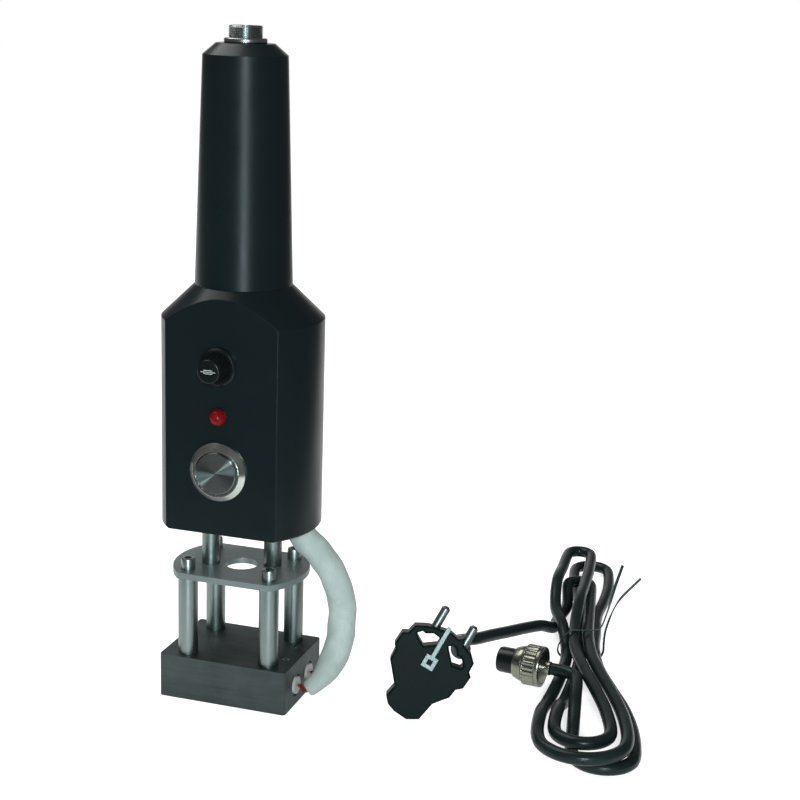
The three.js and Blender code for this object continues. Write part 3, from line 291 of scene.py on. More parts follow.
# Drawn steel is given by its colour, its roughness and the noise's stretch along X, Y and Z
MATERIALS = {
    "block_steel": block_steel(),
    "post_steel": drawn_steel("post_steel", (0.22, 0.26, 0.25), 0.36, (1, 1, 0.06)),
    "plate_steel": drawn_steel("plate_steel", (0.21, 0.245, 0.247), 0.44, (0.1, 1, 1), grain=700,
                               metallic=0.6),
    "heater_steel": drawn_steel("heater_steel", (0.1, 0.11, 0.11), 0.4, (1, 1, 0.1)),
    "inner_steel": drawn_steel("inner_steel", (0.35, 0.36, 0.35), 0.4, (1, 1, 0.1)),
    "screw_steel": drawn_steel("screw_steel", (0.33, 0.37, 0.355), 0.36, (1, 1, 0.2)),
    "socket_metal": drawn_steel("socket_metal", (0.4, 0.43, 0.42), 0.28, (1, 1, 0.05)),
    "rim_metal": drawn_steel("rim_metal", (0.58, 0.62, 0.58), 0.2, grain=2400),
    "earth_metal": drawn_steel("earth_metal", (0.2, 0.23, 0.225), 0.5),
    "pin_metal": drawn_steel("pin_metal", (0.26, 0.29, 0.285), 0.34),
    "white_mark": plain_surface("white_mark", (0.6, 0.62, 0.61), 0.5),
    "connector_metal": drawn_steel("connector_metal", (0.27, 0.28, 0.23), 0.28),
    "tie_coat": plain_surface("tie_coat", (0.02, 0.04, 0.037), 0.35, relief=0.00001),
    "button_face": turned_face(),
    "black_coat": coated_metal(),
    "black_plastic": plain_surface("black_plastic", (0.004, 0.006, 0.0065), 0.3, relief=0.000012,
                                   Specular_IOR_Level=0.3),
    "plug_plastic": plain_surface("plug_plastic", (0.0035, 0.0085, 0.0085), 0.45, grain=1300,
                                  edge=0.0008, Specular_IOR_Level=0.06),
    "red_lens": red_lens(),
    "ceramic": plain_surface("ceramic", (0.42, 0.43, 0.41), 0.55, grain=700, relief=0.00003),
    "sleeve_cloth": woven_cloth(),
    "red_wire": plain_surface("red_wire", (0.2, 0.012, 0.02), 0.45),
    "brass": plain_surface("brass", (0.55, 0.4, 0.16), 0.3, metallic=1.0),
    "black_rubber": cord_rubber(),
    "glass": plain_surface("glass", (0.8, 0.85, 0.84), 0.06, Transmission_Weight=0.9),
}

NODE_MATERIALS = {
    "heating_block": "block_steel",
    "heater_1": "heater_steel",
    "heater_2": "heater_steel",
    "heater_seal_1": "ceramic",
    "heater_seal_2": "ceramic",
    "mid_plate": "plate_steel",
    "body_shell": "black_coat",
    "handle_tube": "black_coat",
    "bottom_cover": "inner_steel",
    "handle_nut": "inner_steel",
    "button_nut": "inner_steel",
    "fuse_nut": "black_plastic",
    "fuse_holder": "black_plastic",
    "fuse_cap": "black_plastic",
    "fuse_link": "glass",
    "lamp_body": "black_plastic",
    "lamp_lens": "red_lens",
    "button_body": "rim_metal",
    "button_face": "button_face",
    "socket_shell": "socket_metal",
    "socket_nut": "screw_steel",
    "socket_insert": "black_plastic",
    "terminal_block": "ceramic",
    "wire_feed": "red_wire",
    "wire_switch": "red_wire",
    "plug_body": "plug_plastic",
    "plug_pin_left": "pin_metal",
    "plug_pin_right": "pin_metal",
    "plug_earth": "earth_metal",
    "plug_relief": "black_rubber",
    "connector_shell": "connector_metal",
    "connector_ring": "connector_metal",
    "connector_insert": "black_plastic",
}
NODE_MATERIALS.update({f"lower_post_{i}": "post_steel" for i in range(1, 5)})
NODE_MATERIALS.update({f"plate_screw_{i}": "screw_steel" for i in range(1, 5)})
NODE_MATERIALS.update({f"socket_contact_{i}": "brass" for i in range(1, 4)})
for number in (1, 2):
    NODE_MATERIALS[f"upper_post_{number}"] = "post_steel"
    NODE_MATERIALS[f"set_screw_{number}"] = "screw_steel"
    NODE_MATERIALS[f"upper_post_screw_{number}"] = "screw_steel"
    NODE_MATERIALS[f"upper_post_nut_{number}"] = "screw_steel"


WELD_DISTANCE = 0.000002
SHARP_ANGLE = 32


def smooth_shape(piece):
    """Merges the shared corners and keeps edges that turn by more than the sharp angle, in degrees."""
    mesh = piece.data
    mesh.shade_smooth()
    if "custom_normal" in mesh.attributes:
        mesh.attributes.remove(mesh.attributes["custom_normal"])
    weld = piece.modifiers.new("weld", "WELD")
    weld.merge_threshold = WELD_DISTANCE
    split = piece.modifiers.new("sharp edges", "EDGE_SPLIT")
    split.split_angle = math.radians(SHARP_ANGLE)


def dress_nodes():
    for name, slot in NODE_MATERIALS.items():
        mesh = NODES[name].data
        mesh.materials.clear()
        mesh.materials.append(MATERIALS[slot])
        smooth_shape(NODES[name])


dress_nodes()


# Pieces

def add_object(name, data, body, material):
    made = bpy.data.objects.new(name, data)
    bpy.context.scene.collection.objects.link(made)
    data.materials.append(MATERIALS[material])
    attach(made, body)
    return made


def eased_curve(points, step):
    """Points at even steps on a centripetal Catmull-Rom curve through the points."""
    padded = [points[0] * 2 - points[1], *points, points[-1] * 2 - points[-2]]
    dense = []
    parts = 12
    for a, b, c, d in zip(padded, padded[1:], padded[2:], padded[3:]):
        t1 = (b - a).length ** 0.5
        t2 = t1 + (c - b).length ** 0.5
        t3 = t2 + (d - c).length ** 0.5
        for i in range(parts):
            t = t1 + (t2 - t1) * i / parts
            ab = a * ((t1 - t) / t1) + b * (t / t1)
            bc = b * ((t2 - t) / (t2 - t1)) + c * ((t - t1) / (t2 - t1))
            cd = c * ((t3 - t) / (t3 - t2)) + d * ((t - t2) / (t3 - t2))
            abc = ab * ((t2 - t) / t2) + bc * (t / t2)
            bcd = bc * ((t3 - t) / (t3 - t1)) + cd * ((t - t1) / (t3 - t1))
            dense.append(abc * ((t2 - t) / (t2 - t1)) + bcd * ((t - t1) / (t2 - t1)))
    dense.append(points[-1].copy())
    travelled = [0.0]
    for one, other in zip(dense, dense[1:]):
        travelled.append(travelled[-1] + (other - one).length)
    count = max(2, round(travelled[-1] / step))
    even = []
    k = 0
    for i in range(count + 1):
        goal = travelled[-1] * i / count
        while k < len(travelled) - 2 and travelled[k + 1] < goal:
            k += 1
        span = travelled[k + 1] - travelled[k]
        share = (goal - travelled[k]) / span if span else 0.0
        even.append(dense[k].lerp(dense[k + 1], min(share, 1.0)))
    return even


def length_of(points):
    return sum((b - a).length for a, b in zip(points, points[1:]))


def curve_piece(name, lines, radius, body, material, sides=6):
    """Round wire or cord along each line of points."""
    data = bpy.data.curves.new(name, "CURVE")
    data.dimensions = "3D"
    data.bevel_depth = radius
    data.bevel_resolution = sides // 2
    data.use_fill_caps = True
    for line in lines:
        spline = data.splines.new("POLY")
        spline.points.add(len(line) - 1)
        for point, place in zip(spline.points, line):
            point.co = (*place, 1)
        spline.use_smooth = True
    return add_object(name, data, body, material)


# Power lead. The hank's places are given along its length from the waist, across it, and in height.
# Its sizes are in millimetres, apart from the steps between a curve's points, which are in metres.

CORD_RADIUS = 3.2
CORD_STEP = 0.0025
TUBE_STEP = 0.0008
WIRE_STEP = 0.0006
RUN_STEP = 24
ARC_STEP = 30
LANE = 7.3
LOW = 4.7
LAYER = 7.2
MIDDLE = LOW + LAYER
HIGH = MIDDLE + LAYER
WAIST = Vector((155, 99.3, 0))
ALONG = Vector((-0.198, 0.98, 0)).normalized()
ACROSS = Vector((ALONG.y, -ALONG.x, 0))

# Each fold: the place of its centre along and across, its radius and its height
FAR_FOLDS = [(112, -2, 6.8, HIGH), (80, -1.5, 6.6, MIDDLE), (124, 6, 10, LOW)]
NEAR_FOLDS = [(-121, 1, 20.8, MIDDLE), (-113, 1, 13.2, MIDDLE), (-121, 11, 14.5, LOW)]
# Where the strands have spread to the near folds, how far one strand swings aside, and the first place
SPREAD = -113
BULGE = -14.5
ENTRY = (36, -14)
# The turn at the end of the hank, into the connector
BEND = {"along": -54.5, "across": -2.3, "radius": 9.3, "angle": 72.6}


def hank_point(along, across, height):
    place = WAIST + ALONG * along + ACROSS * across
    place.z = height
    return place


def eased(keys, along):
    """Smooth value between keys of (along, value)."""
    if along <= keys[0][0]:
        return keys[0][1]
    for (start, low), (end, high) in zip(keys, keys[1:]):
        if along < end:
            share = (along - start) / (end - start)
            return low + (high - low) * share * share * (3 - 2 * share)
    return keys[-1][1]


def straight_run(start, end, across, heights):
    """Points along the hank, with keys of (along, across) and of (along, height) eased between them."""
    steps = max(1, round(abs(end - start) / RUN_STEP))
    places = [start + (end - start) * i / steps for i in range(steps)]
    return [hank_point(along, eased(across, along), eased(heights, along)) for along in places]


def arc(along, across, radius, height, start, end):
    """Points round a fold, between two angles in degrees, without the last."""
    steps = max(3, round(abs(end - start) / ARC_STEP))
    points = []
    for i in range(steps):
        angle = math.radians(start + (end - start) * i / steps)
        place = (along + radius * math.cos(angle), across + radius * math.sin(angle))
        points.append(hank_point(*place, height))
    return points


def hank_path():
    """The hank's one strand, from its entry through three far and three near folds to the connector."""
    far_a, far_b, far_c = FAR_FOLDS
    near_a, near_b, near_c = NEAR_FOLDS

    def left(fold):
        return fold[1] - fold[2]

    def right(fold):
        return fold[1] + fold[2]

    def far_turn(fold):
        return arc(*fold, -90, 90)

    def near_turn(fold):
        return arc(*fold, 90, 270)

    left_heights = [(-95, MIDDLE), (-62, LOW)]
    begin = ENTRY[0] + 2 * CORD_RADIUS
    centre = BEND["across"] - BEND["radius"]
    angle = math.radians(90 - BEND["angle"])
    ends = []
    for onwards in (0, 2 * CORD_RADIUS):
        ends.append(hank_point(
            BEND["along"] + BEND["radius"] * math.cos(angle) + onwards * math.sin(angle),
            centre + BEND["radius"] * math.sin(angle) - onwards * math.cos(angle),
            MIDDLE,
        ))
    return [
        hank_point(ENTRY[0], ENTRY[1], LOW),
        *straight_run(
            begin, far_b[0],
            [ENTRY, (62, left(far_b))],
            [(56, LOW), (76, MIDDLE)],
        ),
        *far_turn(far_b),
        *straight_run(
            far_b[0], near_a[0],
            [(SPREAD, right(near_a)), (0, 0.5 * LANE), (far_b[0], right(far_b))],
            [(0, MIDDLE)],
        ),
        *near_turn(near_a),
        *straight_run(
            near_a[0], far_a[0],
            [(SPREAD, left(near_a)), (0, -LANE), (6, -LANE), (ENTRY[0], BULGE), (66, BULGE),
             (far_a[0], left(far_a))],
            [*left_heights, (6, LOW), (24, MIDDLE), (40, MIDDLE), (62, HIGH)],
        ),
        *far_turn(far_a),
        *straight_run(
            far_a[0], near_b[0],
            [(SPREAD, right(near_b)), (0, -0.5 * LANE), (far_a[0], right(far_a))],
            [(0, MIDDLE), (35, HIGH)],
        ),
        *near_turn(near_b),
        *straight_run(
            near_b[0], far_c[0],
            [(SPREAD, left(near_b)), (0, 0), (60, 0), (100, left(far_c))],
            left_heights,
        ),
        *far_turn(far_c),
        *straight_run(
            far_c[0], near_c[0],
            [(-100, right(near_c)), (0, LANE), (40, LANE + 1), (100, right(far_c))],
            [(0, LOW)],
        ),
        *near_turn(near_c),
        *straight_run(
            near_c[0], BEND["along"],
            [(near_c[0], left(near_c)), (BEND["along"], BEND["across"])],
            [(-108, LOW), (-66, MIDDLE)],
        ),
        *arc(BEND["along"], centre, BEND["radius"], MIDDLE, 90, 90 - BEND["angle"]),
        *ends,
    ]


# The plug's own axes and its place, and where the cord leaves its relief
PLUG_ACROSS = Vector((0.8735, 0.1481, -0.4639)).normalized()
PLUG_UP = Vector((0.392, 0.3514, 0.8502)).normalized()
PLUG_OUT = PLUG_ACROSS.cross(PLUG_UP).normalized()
PLUG_FRAME = Matrix((PLUG_ACROSS, PLUG_OUT.cross(PLUG_ACROSS), PLUG_OUT)).transposed().to_4x4()
PLUG_FRAME.translation = Vector((99.56, 5.13, 28.29))
CORD_START = PLUG_FRAME @ Vector((9, 11.5, -22.6))
# The run from the plug to the hank, and its last places beside the hank
RUN_POINTS = [(108.5, 52, 22.6), (113.5, 68, 19.3), (119, 84, 16), (124.5, 100, 12.8)]
RUN_END = [(20, -21.5, 9.4), (28.5, -15.6, 5.2), (32.5, -14.1, LOW)]


def add_lead():
    """The power lead's cord, in one piece from the plug's relief to the connector, and its route."""
    places = [
        CORD_START,
        CORD_START - PLUG_OUT * 2 * CORD_RADIUS,
        *[Vector(point) for point in RUN_POINTS],
        *[hank_point(*place) for place in RUN_END],
        *hank_path(),
    ]
    route = eased_curve([place * MM for place in places], CORD_STEP)
    cord = curve_piece(
        "power_cord", [route], CORD_RADIUS * MM, "lead", "black_rubber", sides=10,
    )
    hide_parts("cord_run", "cord_hank")
    return cord, route


POWER_CORD, CORD_ROUTE = add_lead()


# Sleeve with the heaters' leads, and the lead's tie, which is made in the same way

COVER_TOP = 92.5
SLEEVE_ENTRY = (27.5, 6)
SLEEVE_TOP = COVER_TOP + 2
SLEEVE_ROUTE = [
    (*SLEEVE_ENTRY, SLEEVE_TOP), (*SLEEVE_ENTRY, 89),
    (30.6, 6, 82.4), (39.2, 6, 75), (47.2, 5, 64), (52.4, 3, 51.8),
    (53.4, 0.5, 40), (51.9, -2.5, 28.4), (48.4, -6, 19), (44.6, -9, 13.2), (40.4, -11, 9.6),
]
SLEEVE_RADIUS = 7.25
SLEEVE_WALL = 0.8
WRINKLE = 0.2
SAG = 0.15
# The shares of its length from which the sleeve is gathered and its end is rounded, and how far
GATHERED_FROM = 0.78
GATHERED_BY = 2.7
ROUNDED_FROM = 0.965
ROUNDED_BY = 0.9


def tube_rings(route, radius_at, sides, side=Vector((0, 1, 0))):
    """Rings of points round a route, carried along it without twist."""
    rings = []
    last = len(route) - 1
    for i, place in enumerate(route):
        tangent = (route[min(i + 1, last)] - route[max(i - 1, 0)]).normalized()
        side = (side - tangent * side.dot(tangent)).normalized()
        other = tangent.cross(side)
        ring = []
        for k in range(sides):
            angle = 2 * math.pi * k / sides
            radius = radius_at(i / last, angle)
            ring.append(place + (side * math.cos(angle) + other * math.sin(angle)) * radius)
        rings.append(ring)
    return rings


def ring_mesh(name, rings, uv_name=None, closed_profile=False, caps=False):
    """Quads between rings, with coordinates round and along the tube where they have a name."""
    mesh = bpy.data.meshes.new(name)
    bm = bmesh.new()
    rows = [[bm.verts.new(place) for place in ring] for ring in rings]
    layer = bm.loops.layers.uv.new(uv_name) if uv_name else None
    pairs = list(zip(rows, rows[1:]))
    if closed_profile:
        pairs.append((rows[-1], rows[0]))
    count = len(pairs)
    sides = len(rows[0])
    for j, (one, other) in enumerate(pairs):
        for k in range(sides):
            face = bm.faces.new((one[k], one[(k + 1) % sides], other[(k + 1) % sides], other[k]))
            face.smooth = True
            if layer:
                corners = ((k, j), (k + 1, j), (k + 1, j + 1), (k, j + 1))
                for loop, (u, v) in zip(face.loops, corners):
                    loop[layer].uv = (u / sides, v / count)
    if caps:
        bm.faces.new(rows[0])
        bm.faces.new(rows[-1])
    bmesh.ops.recalc_face_normals(bm, faces=bm.faces)
    bm.to_mesh(mesh)
    bm.free()
    return mesh


TIE_HALF_WIDTH = 0.85
TIE_HALF_THICKNESS = 0.24
TIE_WIRE_RADIUS = 0.4
TIE_TWISTED_SHARE = 0.2
TIE_ROUTE = [
    (27, 20.5, 45), (17, 16, 33), (8, 13, 24), (2, 9.5, 17.4), (1, 5, 16.3), (0, 0, 16.3),
    (-0.5, -5.5, 16), (-1, -10, 11.2), (-1, -12, 7), (-1, -12.1, 3.8), (-0.5, -10.2, 1.2),
    (0, -7.3, 0.7), (0.5, 0, 0.7), (1, 7.3, 0.7), (1, 10.4, 1.3), (1.5, 12.1, 4.4), (2.5, 12.2, 9),
    (4.6, 12.9, 16), (12, 18.5, 29), (19, 30.3, 41),
]


def add_tie():
    """Flat plastic tie with a wire along its middle, round the hank's waist, twisted at its two ends."""
    def section(share, angle):
        end = max(0.0, TIE_TWISTED_SHARE - min(share, 1 - share)) / TIE_TWISTED_SHARE
        turned = angle + math.pi / 2 * min(1.0, 2 * end)
        wide = abs(math.cos(turned) / TIE_HALF_WIDTH)
        thick = abs(math.sin(turned) / TIE_HALF_THICKNESS)
        flat = (wide ** 3 + thick ** 3) ** (-1 / 3)
        return max(flat, TIE_WIRE_RADIUS) * MM

    route = eased_curve([hank_point(*place) * MM for place in TIE_ROUTE], TUBE_STEP)
    rings = tube_rings(route, section, 24, ALONG)
    mesh = ring_mesh("tie_strip", rings, caps=True)
    tie = add_object("tie_strip", mesh, "lead", "tie_coat")
    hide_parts("hank_tie")


add_tie()


def add_sleeve():
    """Woven tube with slight wrinkles, gathered and rounded at its lower end, and the wires in it."""
    route = eased_curve([mm(point) for point in SLEEVE_ROUTE], TUBE_STEP)

    def outer(share, angle):
        wrinkle = WRINKLE * math.sin(share * 46 + 2.2 * math.sin(angle)) * math.sin(angle * 2 + share * 9)
        sag = SAG * math.sin(share * 17 + angle)
        gathered = max(0.0, share - GATHERED_FROM) / (1 - GATHERED_FROM)
        gathered *= gathered * (3 - 2 * gathered)
        tail = min(1.0, max(0.0, share - ROUNDED_FROM) / (1 - ROUNDED_FROM))
        rounding = ROUNDED_BY * (1 - math.sqrt(1 - tail * tail))
        return (SLEEVE_RADIUS - 0.3 + wrinkle + sag - GATHERED_BY * gathered - rounding) * MM

    def inner(share, angle):
        return outer(share, angle) - SLEEVE_WALL * MM

    sides = 72
    rings = tube_rings(route, outer, sides) + tube_rings(route, inner, sides)[::-1]
    mesh = ring_mesh("woven_sleeve", rings, "sleeve", closed_profile=True)
    sleeve = add_object("woven_sleeve", mesh, "machine", "sleeve_cloth")
    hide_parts("sleeve")
    leads = add_heater_leads()


# The seals' outer faces, and the heaters' places across the block and over its working face
SEAL_FACE = 34.6
HEATER_NEAR = (7.8, 10.1)
HEATER_FAR = (-9.3, 10.1)
LEAD_RADIUS = 1.1
LEAD_SPACING = 4.0
TERMINAL_Y = 20
WIRE_RADIUS = 0.5
WIRE_OFFSET = 0.53
TWIST_PITCH = 0.016
TWIST_STEPS = 36


def twisted_pair(centre):
    """Two lines of points that wind round a centre line."""
    rings = tube_rings(centre, lambda share, angle: WIRE_OFFSET * MM, TWIST_STEPS)
    turns = length_of(centre) / TWIST_PITCH
    lines = []
    for phase in (0, 0.5):
        line = []
        for k, ring in enumerate(rings):
            line.append(ring[round((phase + turns * k / len(rings)) * TWIST_STEPS) % TWIST_STEPS])
        lines.append(line)
    return lines


def add_heater_leads():
    """Each heater's two wires, from its seal through the sleeve to the terminal block."""
    def lead_out(place):
        return [(SEAL_FACE, *place), (SEAL_FACE + LEAD_RADIUS, *place)]

    x, y = SLEEVE_ENTRY
    starts = [
        [*lead_out(HEATER_FAR), (39.8, -12.5, 9.1)],
        [*lead_out(HEATER_NEAR), (37.6, 2, 7.6), (37.2, -4, 6), (38.8, -8.2, 7.4)],
    ]
    made = []
    for i, start in enumerate(starts):
        aside = (i - 0.5) * LEAD_SPACING
        level = SLEEVE_TOP + 2 + (1 - i) * LEAD_SPACING
        route = [
            *start,
            *[(across, depth + aside, height) for across, depth, height in SLEEVE_ROUTE[-2:0:-1]],
            (x, y + aside, SLEEVE_TOP), (x, y + aside, level - 1),
            (22, TERMINAL_Y - 2, level), (19, TERMINAL_Y, level), (17.3, TERMINAL_Y, level),
        ]
        lines = twisted_pair(eased_curve([mm(point) for point in route], WIRE_STEP))
        name = f"heater_wires_{i + 1}"
        lead = curve_piece(name, lines, WIRE_RADIUS * MM, "machine", "red_wire")
        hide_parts(f"heater_lead_{i + 1}")
        made.append(lead)
    return made


add_sleeve()


# Turned pieces with finer detail than the plain solids

TURNED_SHARP_ANGLE = 40


def turned_mesh(name, profile, axes, sides=96, ripple=None, closed=False):
    """Solid of revolution about the Z of its axes, from a list of (radius, height) in millimetres."""
    mesh = bpy.data.meshes.new(name)
    bm = bmesh.new()
    rows = []
    for radius, height in profile:
        row = []
        for k in range(sides):
            angle = 2 * math.pi * k / sides
            wide = radius + (ripple(radius, height, angle) if ripple else 0)
            place = mm((wide * math.cos(angle), wide * math.sin(angle), height))
            row.append(bm.verts.new(axes @ place))
        rows.append(row)
    pairs = list(zip(rows, rows[1:]))
    if closed:
        pairs.append((rows[-1], rows[0]))
    for one, other in pairs:
        for k in range(sides):
            bm.faces.new((one[k], one[(k + 1) % sides], other[(k + 1) % sides], other[k]))
    bmesh.ops.remove_doubles(bm, verts=bm.verts, dist=1e-7)
    bmesh.ops.recalc_face_normals(bm, faces=bm.faces)
    for face in bm.faces:
        face.smooth = True
    for edge in bm.edges:
        edge.smooth = edge.calc_face_angle(math.pi) < math.radians(TURNED_SHARP_ANGLE)
    bm.to_mesh(mesh)
    bm.free()
    return mesh


def axes_on(place, axis):
    """Axes at a place in millimetres, with their Z along the axis."""
    turn = Vector((0, 0, 1)).rotation_difference(Vector(axis)).to_matrix().to_4x4()
    return Matrix.Translation(mm(place)) @ turn


def quarter_round(centre, size, start, steps):
    """Points of a profile on a quarter circle, from an angle in degrees."""
    points = []
    for step in range(steps + 1):
        angle = math.radians(start + 90 * step / steps)
        points.append((centre[0] + size * math.cos(angle), centre[1] + size * math.sin(angle)))
    return points


HANDLE_TOP = 320.25
FLANGE_HEIGHT = 2.35
SOCKET_RISE = 5.6
SOCKET_DEPTH = 9
SOCKET_BORE = 6.9
SOCKET_NECK = 7.75
SPIGOT_RADIUS = 8
THREAD_ROOT = 7.58
THREAD_CREST = 7.98
THREAD_PITCH = 0.8
THREAD_FLANK = 0.32
CREST_WIDTH = 0.12


def add_socket():
    """Threaded shell with a rounded flange."""
    flange = HANDLE_TOP + FLANGE_HEIGHT
    top = flange + SOCKET_RISE
    bottom = HANDLE_TOP - SOCKET_DEPTH
    profile = [
        (SOCKET_BORE, bottom), (SPIGOT_RADIUS, bottom), (SPIGOT_RADIUS, HANDLE_TOP), (9.5, HANDLE_TOP),
    ]
    profile += quarter_round((9.55, HANDLE_TOP + 0.5), 0.5, -90, 3)
    profile += quarter_round((9.25, flange - 0.8), 0.8, 0, 4)
    profile.append((SOCKET_NECK, flange))
    height = flange + 0.35
    while height < top - THREAD_PITCH:
        crest = height + THREAD_FLANK
        profile += [(THREAD_ROOT, height), (THREAD_CREST, crest), (THREAD_CREST, crest + CREST_WIDTH)]
        height += THREAD_PITCH
    profile += [(THREAD_ROOT, height), (SOCKET_NECK, top - 0.35), (7.45, top), (SOCKET_BORE, top)]
    mesh = turned_mesh("threaded_socket", profile, Matrix(), closed=True)
    socket = add_object("threaded_socket", mesh, "machine", "socket_metal")
    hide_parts("socket_shell")


FUSE_AXES = Matrix.Translation(mm((-1, -26.95, 172.7))) @ Matrix.Rotation(math.pi / 2, 4, "X")
FUSE_END = 12.31
RIBS = 24
RIB_DEPTH = 0.22
RIBS_FROM = 3.2
RIBS_TO = 11.6
RIB_FADE = 0.6
RIBBED_RADIUS = 5.5
# Each bar of the sign: its place across and up, its width and its height
SIGN_BARS = [
    (0, 0.8, 4.6, 0.35), (0, -0.8, 4.6, 0.35),
    (-2.15, 0, 0.35, 1.9), (2.15, 0, 0.35, 1.9),
    (0, 0, 7.4, 0.3),
]
SIGN_THICKNESS = 0.06


def add_fuse_cap():
    """Tapered cap with ribs round its side."""
    def ribs(radius, height, angle):
        if not RIBS_FROM < height < RIBS_TO or radius < RIBBED_RADIUS:
            return 0
        depth = RIB_DEPTH * min(1, (height - RIBS_FROM) / RIB_FADE, (RIBS_TO - height) / RIB_FADE)
        return depth * (math.cos(angle * RIBS) - 1)

    profile = [
        (0, 1.6), (3.2, 1.6), (3.2, -5.7), (5.45, -5.7), (5.45, 2.5), (6.9, 2.5), (7.2, 2.8), (7.18, 3.3),
    ]
    steps = 8
    for step in range(1, steps + 1):
        share = step / steps
        profile.append((7.15 - 1.4 * share, 3.3 + 8.2 * share))
    profile += [(5.62, 11.9), (5.35, 12.2), (5.0, FUSE_END), (0, FUSE_END)]
    mesh = turned_mesh("fuse_knob_cap", profile, FUSE_AXES, sides=8 * RIBS, ripple=ribs)
    cap = add_object("fuse_knob_cap", mesh, "fuse_knob", "black_plastic")
    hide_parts("fuse_cap")


def add_fuse_sign():
    """The plain sign of a fuse on the cap's end."""
    sign = bpy.data.meshes.new("fuse_sign")
    bm = bmesh.new()
    for x, y, wide, tall in SIGN_BARS:
        size = Matrix.Diagonal((wide * MM, tall * MM, SIGN_THICKNESS * MM, 1))
        place = FUSE_AXES @ Matrix.Translation(mm((x, y, FUSE_END + 0.02))) @ size
        bmesh.ops.create_cube(bm, size=1, matrix=place)
    bm.to_mesh(sign)
    bm.free()
    add_object("fuse_sign", sign, "fuse_knob", "white_mark")


CONNECTOR_AXES = axes_on((144.7496, 53.9459, 11.9), (-0.994563, 0.104141, 0))
CASE_PROFILE = [
    (0, -4), (3.2, -4), (3.6, -3.6), (3.6, 0), (8.2, 0), (8.2, 9.85), (8.8, 9.85), (9.1, 10.0),
    (9.2, 10.4), (9.12, 11.1), (8.75, 12.3), (8.3, 13.5), (7.85, 14.6), (7.6, 15.05), (7.2, 15.2),
    (6.2, 15.2), (6.2, 9.2), (0, 9.2),
]
RING_PROFILE = [
    (8.5, 0), (9.9, 0), (10.3, 0.15), (10.5, 0.6), (10.5, 1.5), (10.1, 1.8), (10.1, 2.3), (10.5, 2.6),
    (10.5, 2.75), (10.5, 8.55), (10.5, 8.7), (10.35, 9.2), (9.9, 9.5), (8.5, 9.5),
]
GROOVES = 26
GROOVE_DEPTH = 0.22
GROOVES_FROM = 2.7
GROOVES_TO = 8.6
GROOVED_RADIUS = 10.2


def add_connector():
    """Turned case with a rounded shoulder, and a coupling ring with grooves along it."""
    mesh = turned_mesh("connector_case", CASE_PROFILE, CONNECTOR_AXES)
    case = add_object("connector_case", mesh, "lead", "connector_metal")
    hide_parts("connector_shell")

    def grooves(radius, height, angle):
        if not GROOVES_FROM < height < GROOVES_TO or radius < GROOVED_RADIUS:
            return 0
        return GROOVE_DEPTH * (math.cos(angle * GROOVES) - 1)

    sides = 8 * GROOVES
    mesh = turned_mesh("knurled_ring", RING_PROFILE, CONNECTOR_AXES, sides, grooves, closed=True)
    ring = add_object("knurled_ring", mesh, "coupling_ring", "connector_metal")
    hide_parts("connector_ring")


add_socket()
add_fuse_cap()
add_fuse_sign()
add_connector()


# Floor, light and background

def strength_by_ray(tree, target, light, seen, mirrored):
    """Strength as light on other things, as seen by the camera, and as seen in metal and glass."""
    path = tree.nodes.new("ShaderNodeLightPath")
    total = light
    by_ray = {"Is Camera Ray": seen, "Is Glossy Ray": mirrored, "Is Transmission Ray": mirrored}
    for kind, strength in by_ray.items():
        step = tree.nodes.new("ShaderNodeMix")
        step.inputs["B"].default_value = strength
        tree.links.new(path.outputs[kind], step.inputs["Factor"])
        if isinstance(total, float):
            step.inputs["A"].default_value = total
        else:
            tree.links.new(total, step.inputs["A"])
        total = step.outputs["Result"]
    tree.links.new(total, target)


# The floor's edges: it widens away from the viewer, who sees no edge because the world is white too
FLOOR_FRONT = -0.2
FLOOR_LEFT = -0.8
FLOOR_RIGHT = 0.31
FLOOR_FAR = 6


def add_floor():
    mesh = bpy.data.meshes.new("floor")
    corners = [
        (FLOOR_LEFT, FLOOR_FRONT, 0), (FLOOR_RIGHT, FLOOR_FRONT, 0),
        (FLOOR_RIGHT, FLOOR_FAR, 0), (-FLOOR_FAR, FLOOR_FAR, 0),
    ]
    mesh.from_pydata(corners, [], [(0, 1, 2, 3)])
    floor = bpy.data.objects.new("floor", mesh)
    bpy.context.scene.collection.objects.link(floor)
    surface = Surface("floor", Roughness=0.9, Specular_IOR_Level=0.2, Emission_Color=(1, 1, 1, 1))
    surface.colour(surface.mix(surface.noise(scale=3, detail=2), (0.88, 0.885, 0.88), (0.9, 0.9, 0.9)))
    glow = surface.shader.inputs["Emission Strength"]
    strength_by_ray(surface.tree, glow, light=0.05, seen=0.7, mirrored=0.35)
    mesh.materials.append(surface.material)


AWAY_FROM_VIEWER = (-0.36, 0.93, 0)


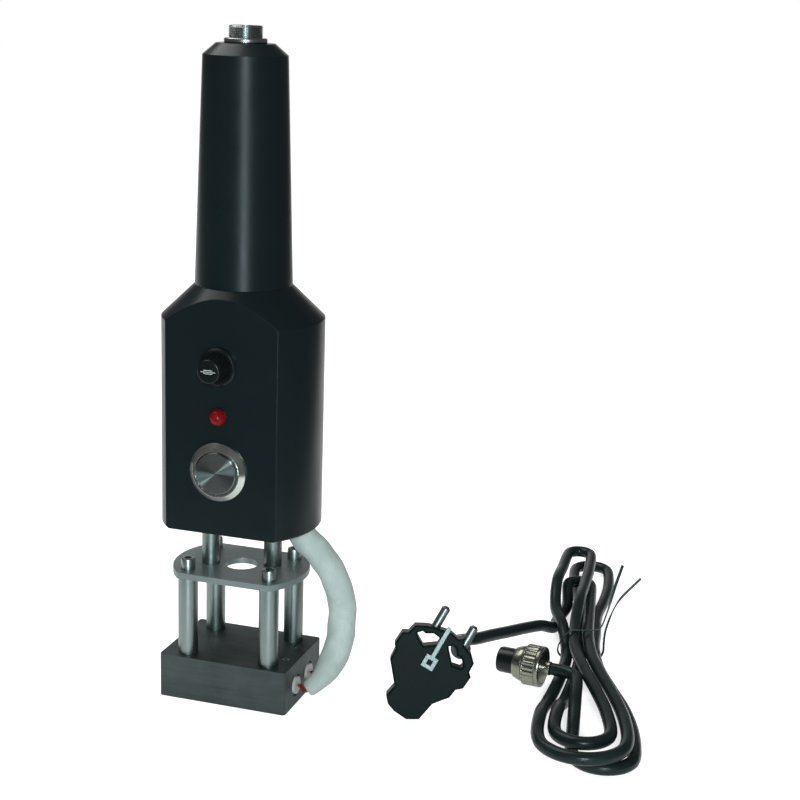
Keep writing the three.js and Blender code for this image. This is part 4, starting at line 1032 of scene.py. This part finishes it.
def add_world():
    """White where it is seen, dimmer as light, and mirrored as white with a dark room round the viewer."""
    world = bpy.data.worlds.new("studio")
    world.use_nodes = True
    tree = world.node_tree
    background = tree.nodes["Background"]
    strength_by_ray(tree, background.inputs["Strength"], light=0.35, seen=1.0, mirrored=1.0)
    direction = tree.nodes.new("ShaderNodeTexCoord").outputs["Generated"]
    away = tree.nodes.new("ShaderNodeVectorMath")
    away.operation = "DOT_PRODUCT"
    tree.links.new(direction, away.inputs[0])
    away.inputs[1].default_value = AWAY_FROM_VIEWER
    room = tree.nodes.new("ShaderNodeMapRange")
    room.interpolation_type = "SMOOTHSTEP"
    for socket, value in (("From Min", 0.88), ("From Max", 0.995), ("To Min", 0.1), ("To Max", 1.0)):
        room.inputs[socket].default_value = value
    tree.links.new(away.outputs["Value"], room.inputs["Value"])
    dimmed = tree.nodes.new("ShaderNodeMix")
    dimmed.data_type = "RGBA"
    dimmed.inputs["B"].default_value = (1, 1, 1, 1)
    tree.links.new(room.outputs["Result"], dimmed.inputs["A"])
    light_path = tree.nodes.new("ShaderNodeLightPath")
    plain = tree.nodes.new("ShaderNodeMath")
    plain.operation = "MAXIMUM"
    tree.links.new(light_path.outputs["Is Camera Ray"], plain.inputs[0])
    tree.links.new(light_path.outputs["Is Diffuse Ray"], plain.inputs[1])
    tree.links.new(plain.outputs["Value"], dimmed.inputs["Factor"])
    tree.links.new(dimmed.outputs["Result"], background.inputs["Color"])
    bpy.context.scene.world = world


def add_panel(name, place, aim, width, height, power, colour=(1, 1, 1)):
    data = bpy.data.lights.new(name, "AREA")
    data.shape = "RECTANGLE"
    data.size = width
    data.size_y = height
    data.energy = power
    data.color = colour
    panel = bpy.data.objects.new(name, data)
    panel.location = place
    panel.rotation_euler = (Vector(aim) - Vector(place)).to_track_quat("-Z", "Y").to_euler()
    bpy.context.scene.collection.objects.link(panel)


add_floor()
add_world()
add_panel("window", place=(0.6, -1.5, -0.05), aim=(0, 0, 0.15), width=0.34, height=0.55, power=8,
          colour=(0.7, 0.92, 1.0))
add_panel("lamp", place=(0.64, -1.5, 0.68), aim=(0, 0, 0.12), width=0.2, height=0.2, power=17,
          colour=(0.88, 0.98, 1.0))
add_panel("overhead", place=(-0.75, 0.35, 1.6), aim=(0.05, 0, 0), width=1.2, height=1.2, power=16)

bpy.context.scene.view_settings.view_transform = "Standard"
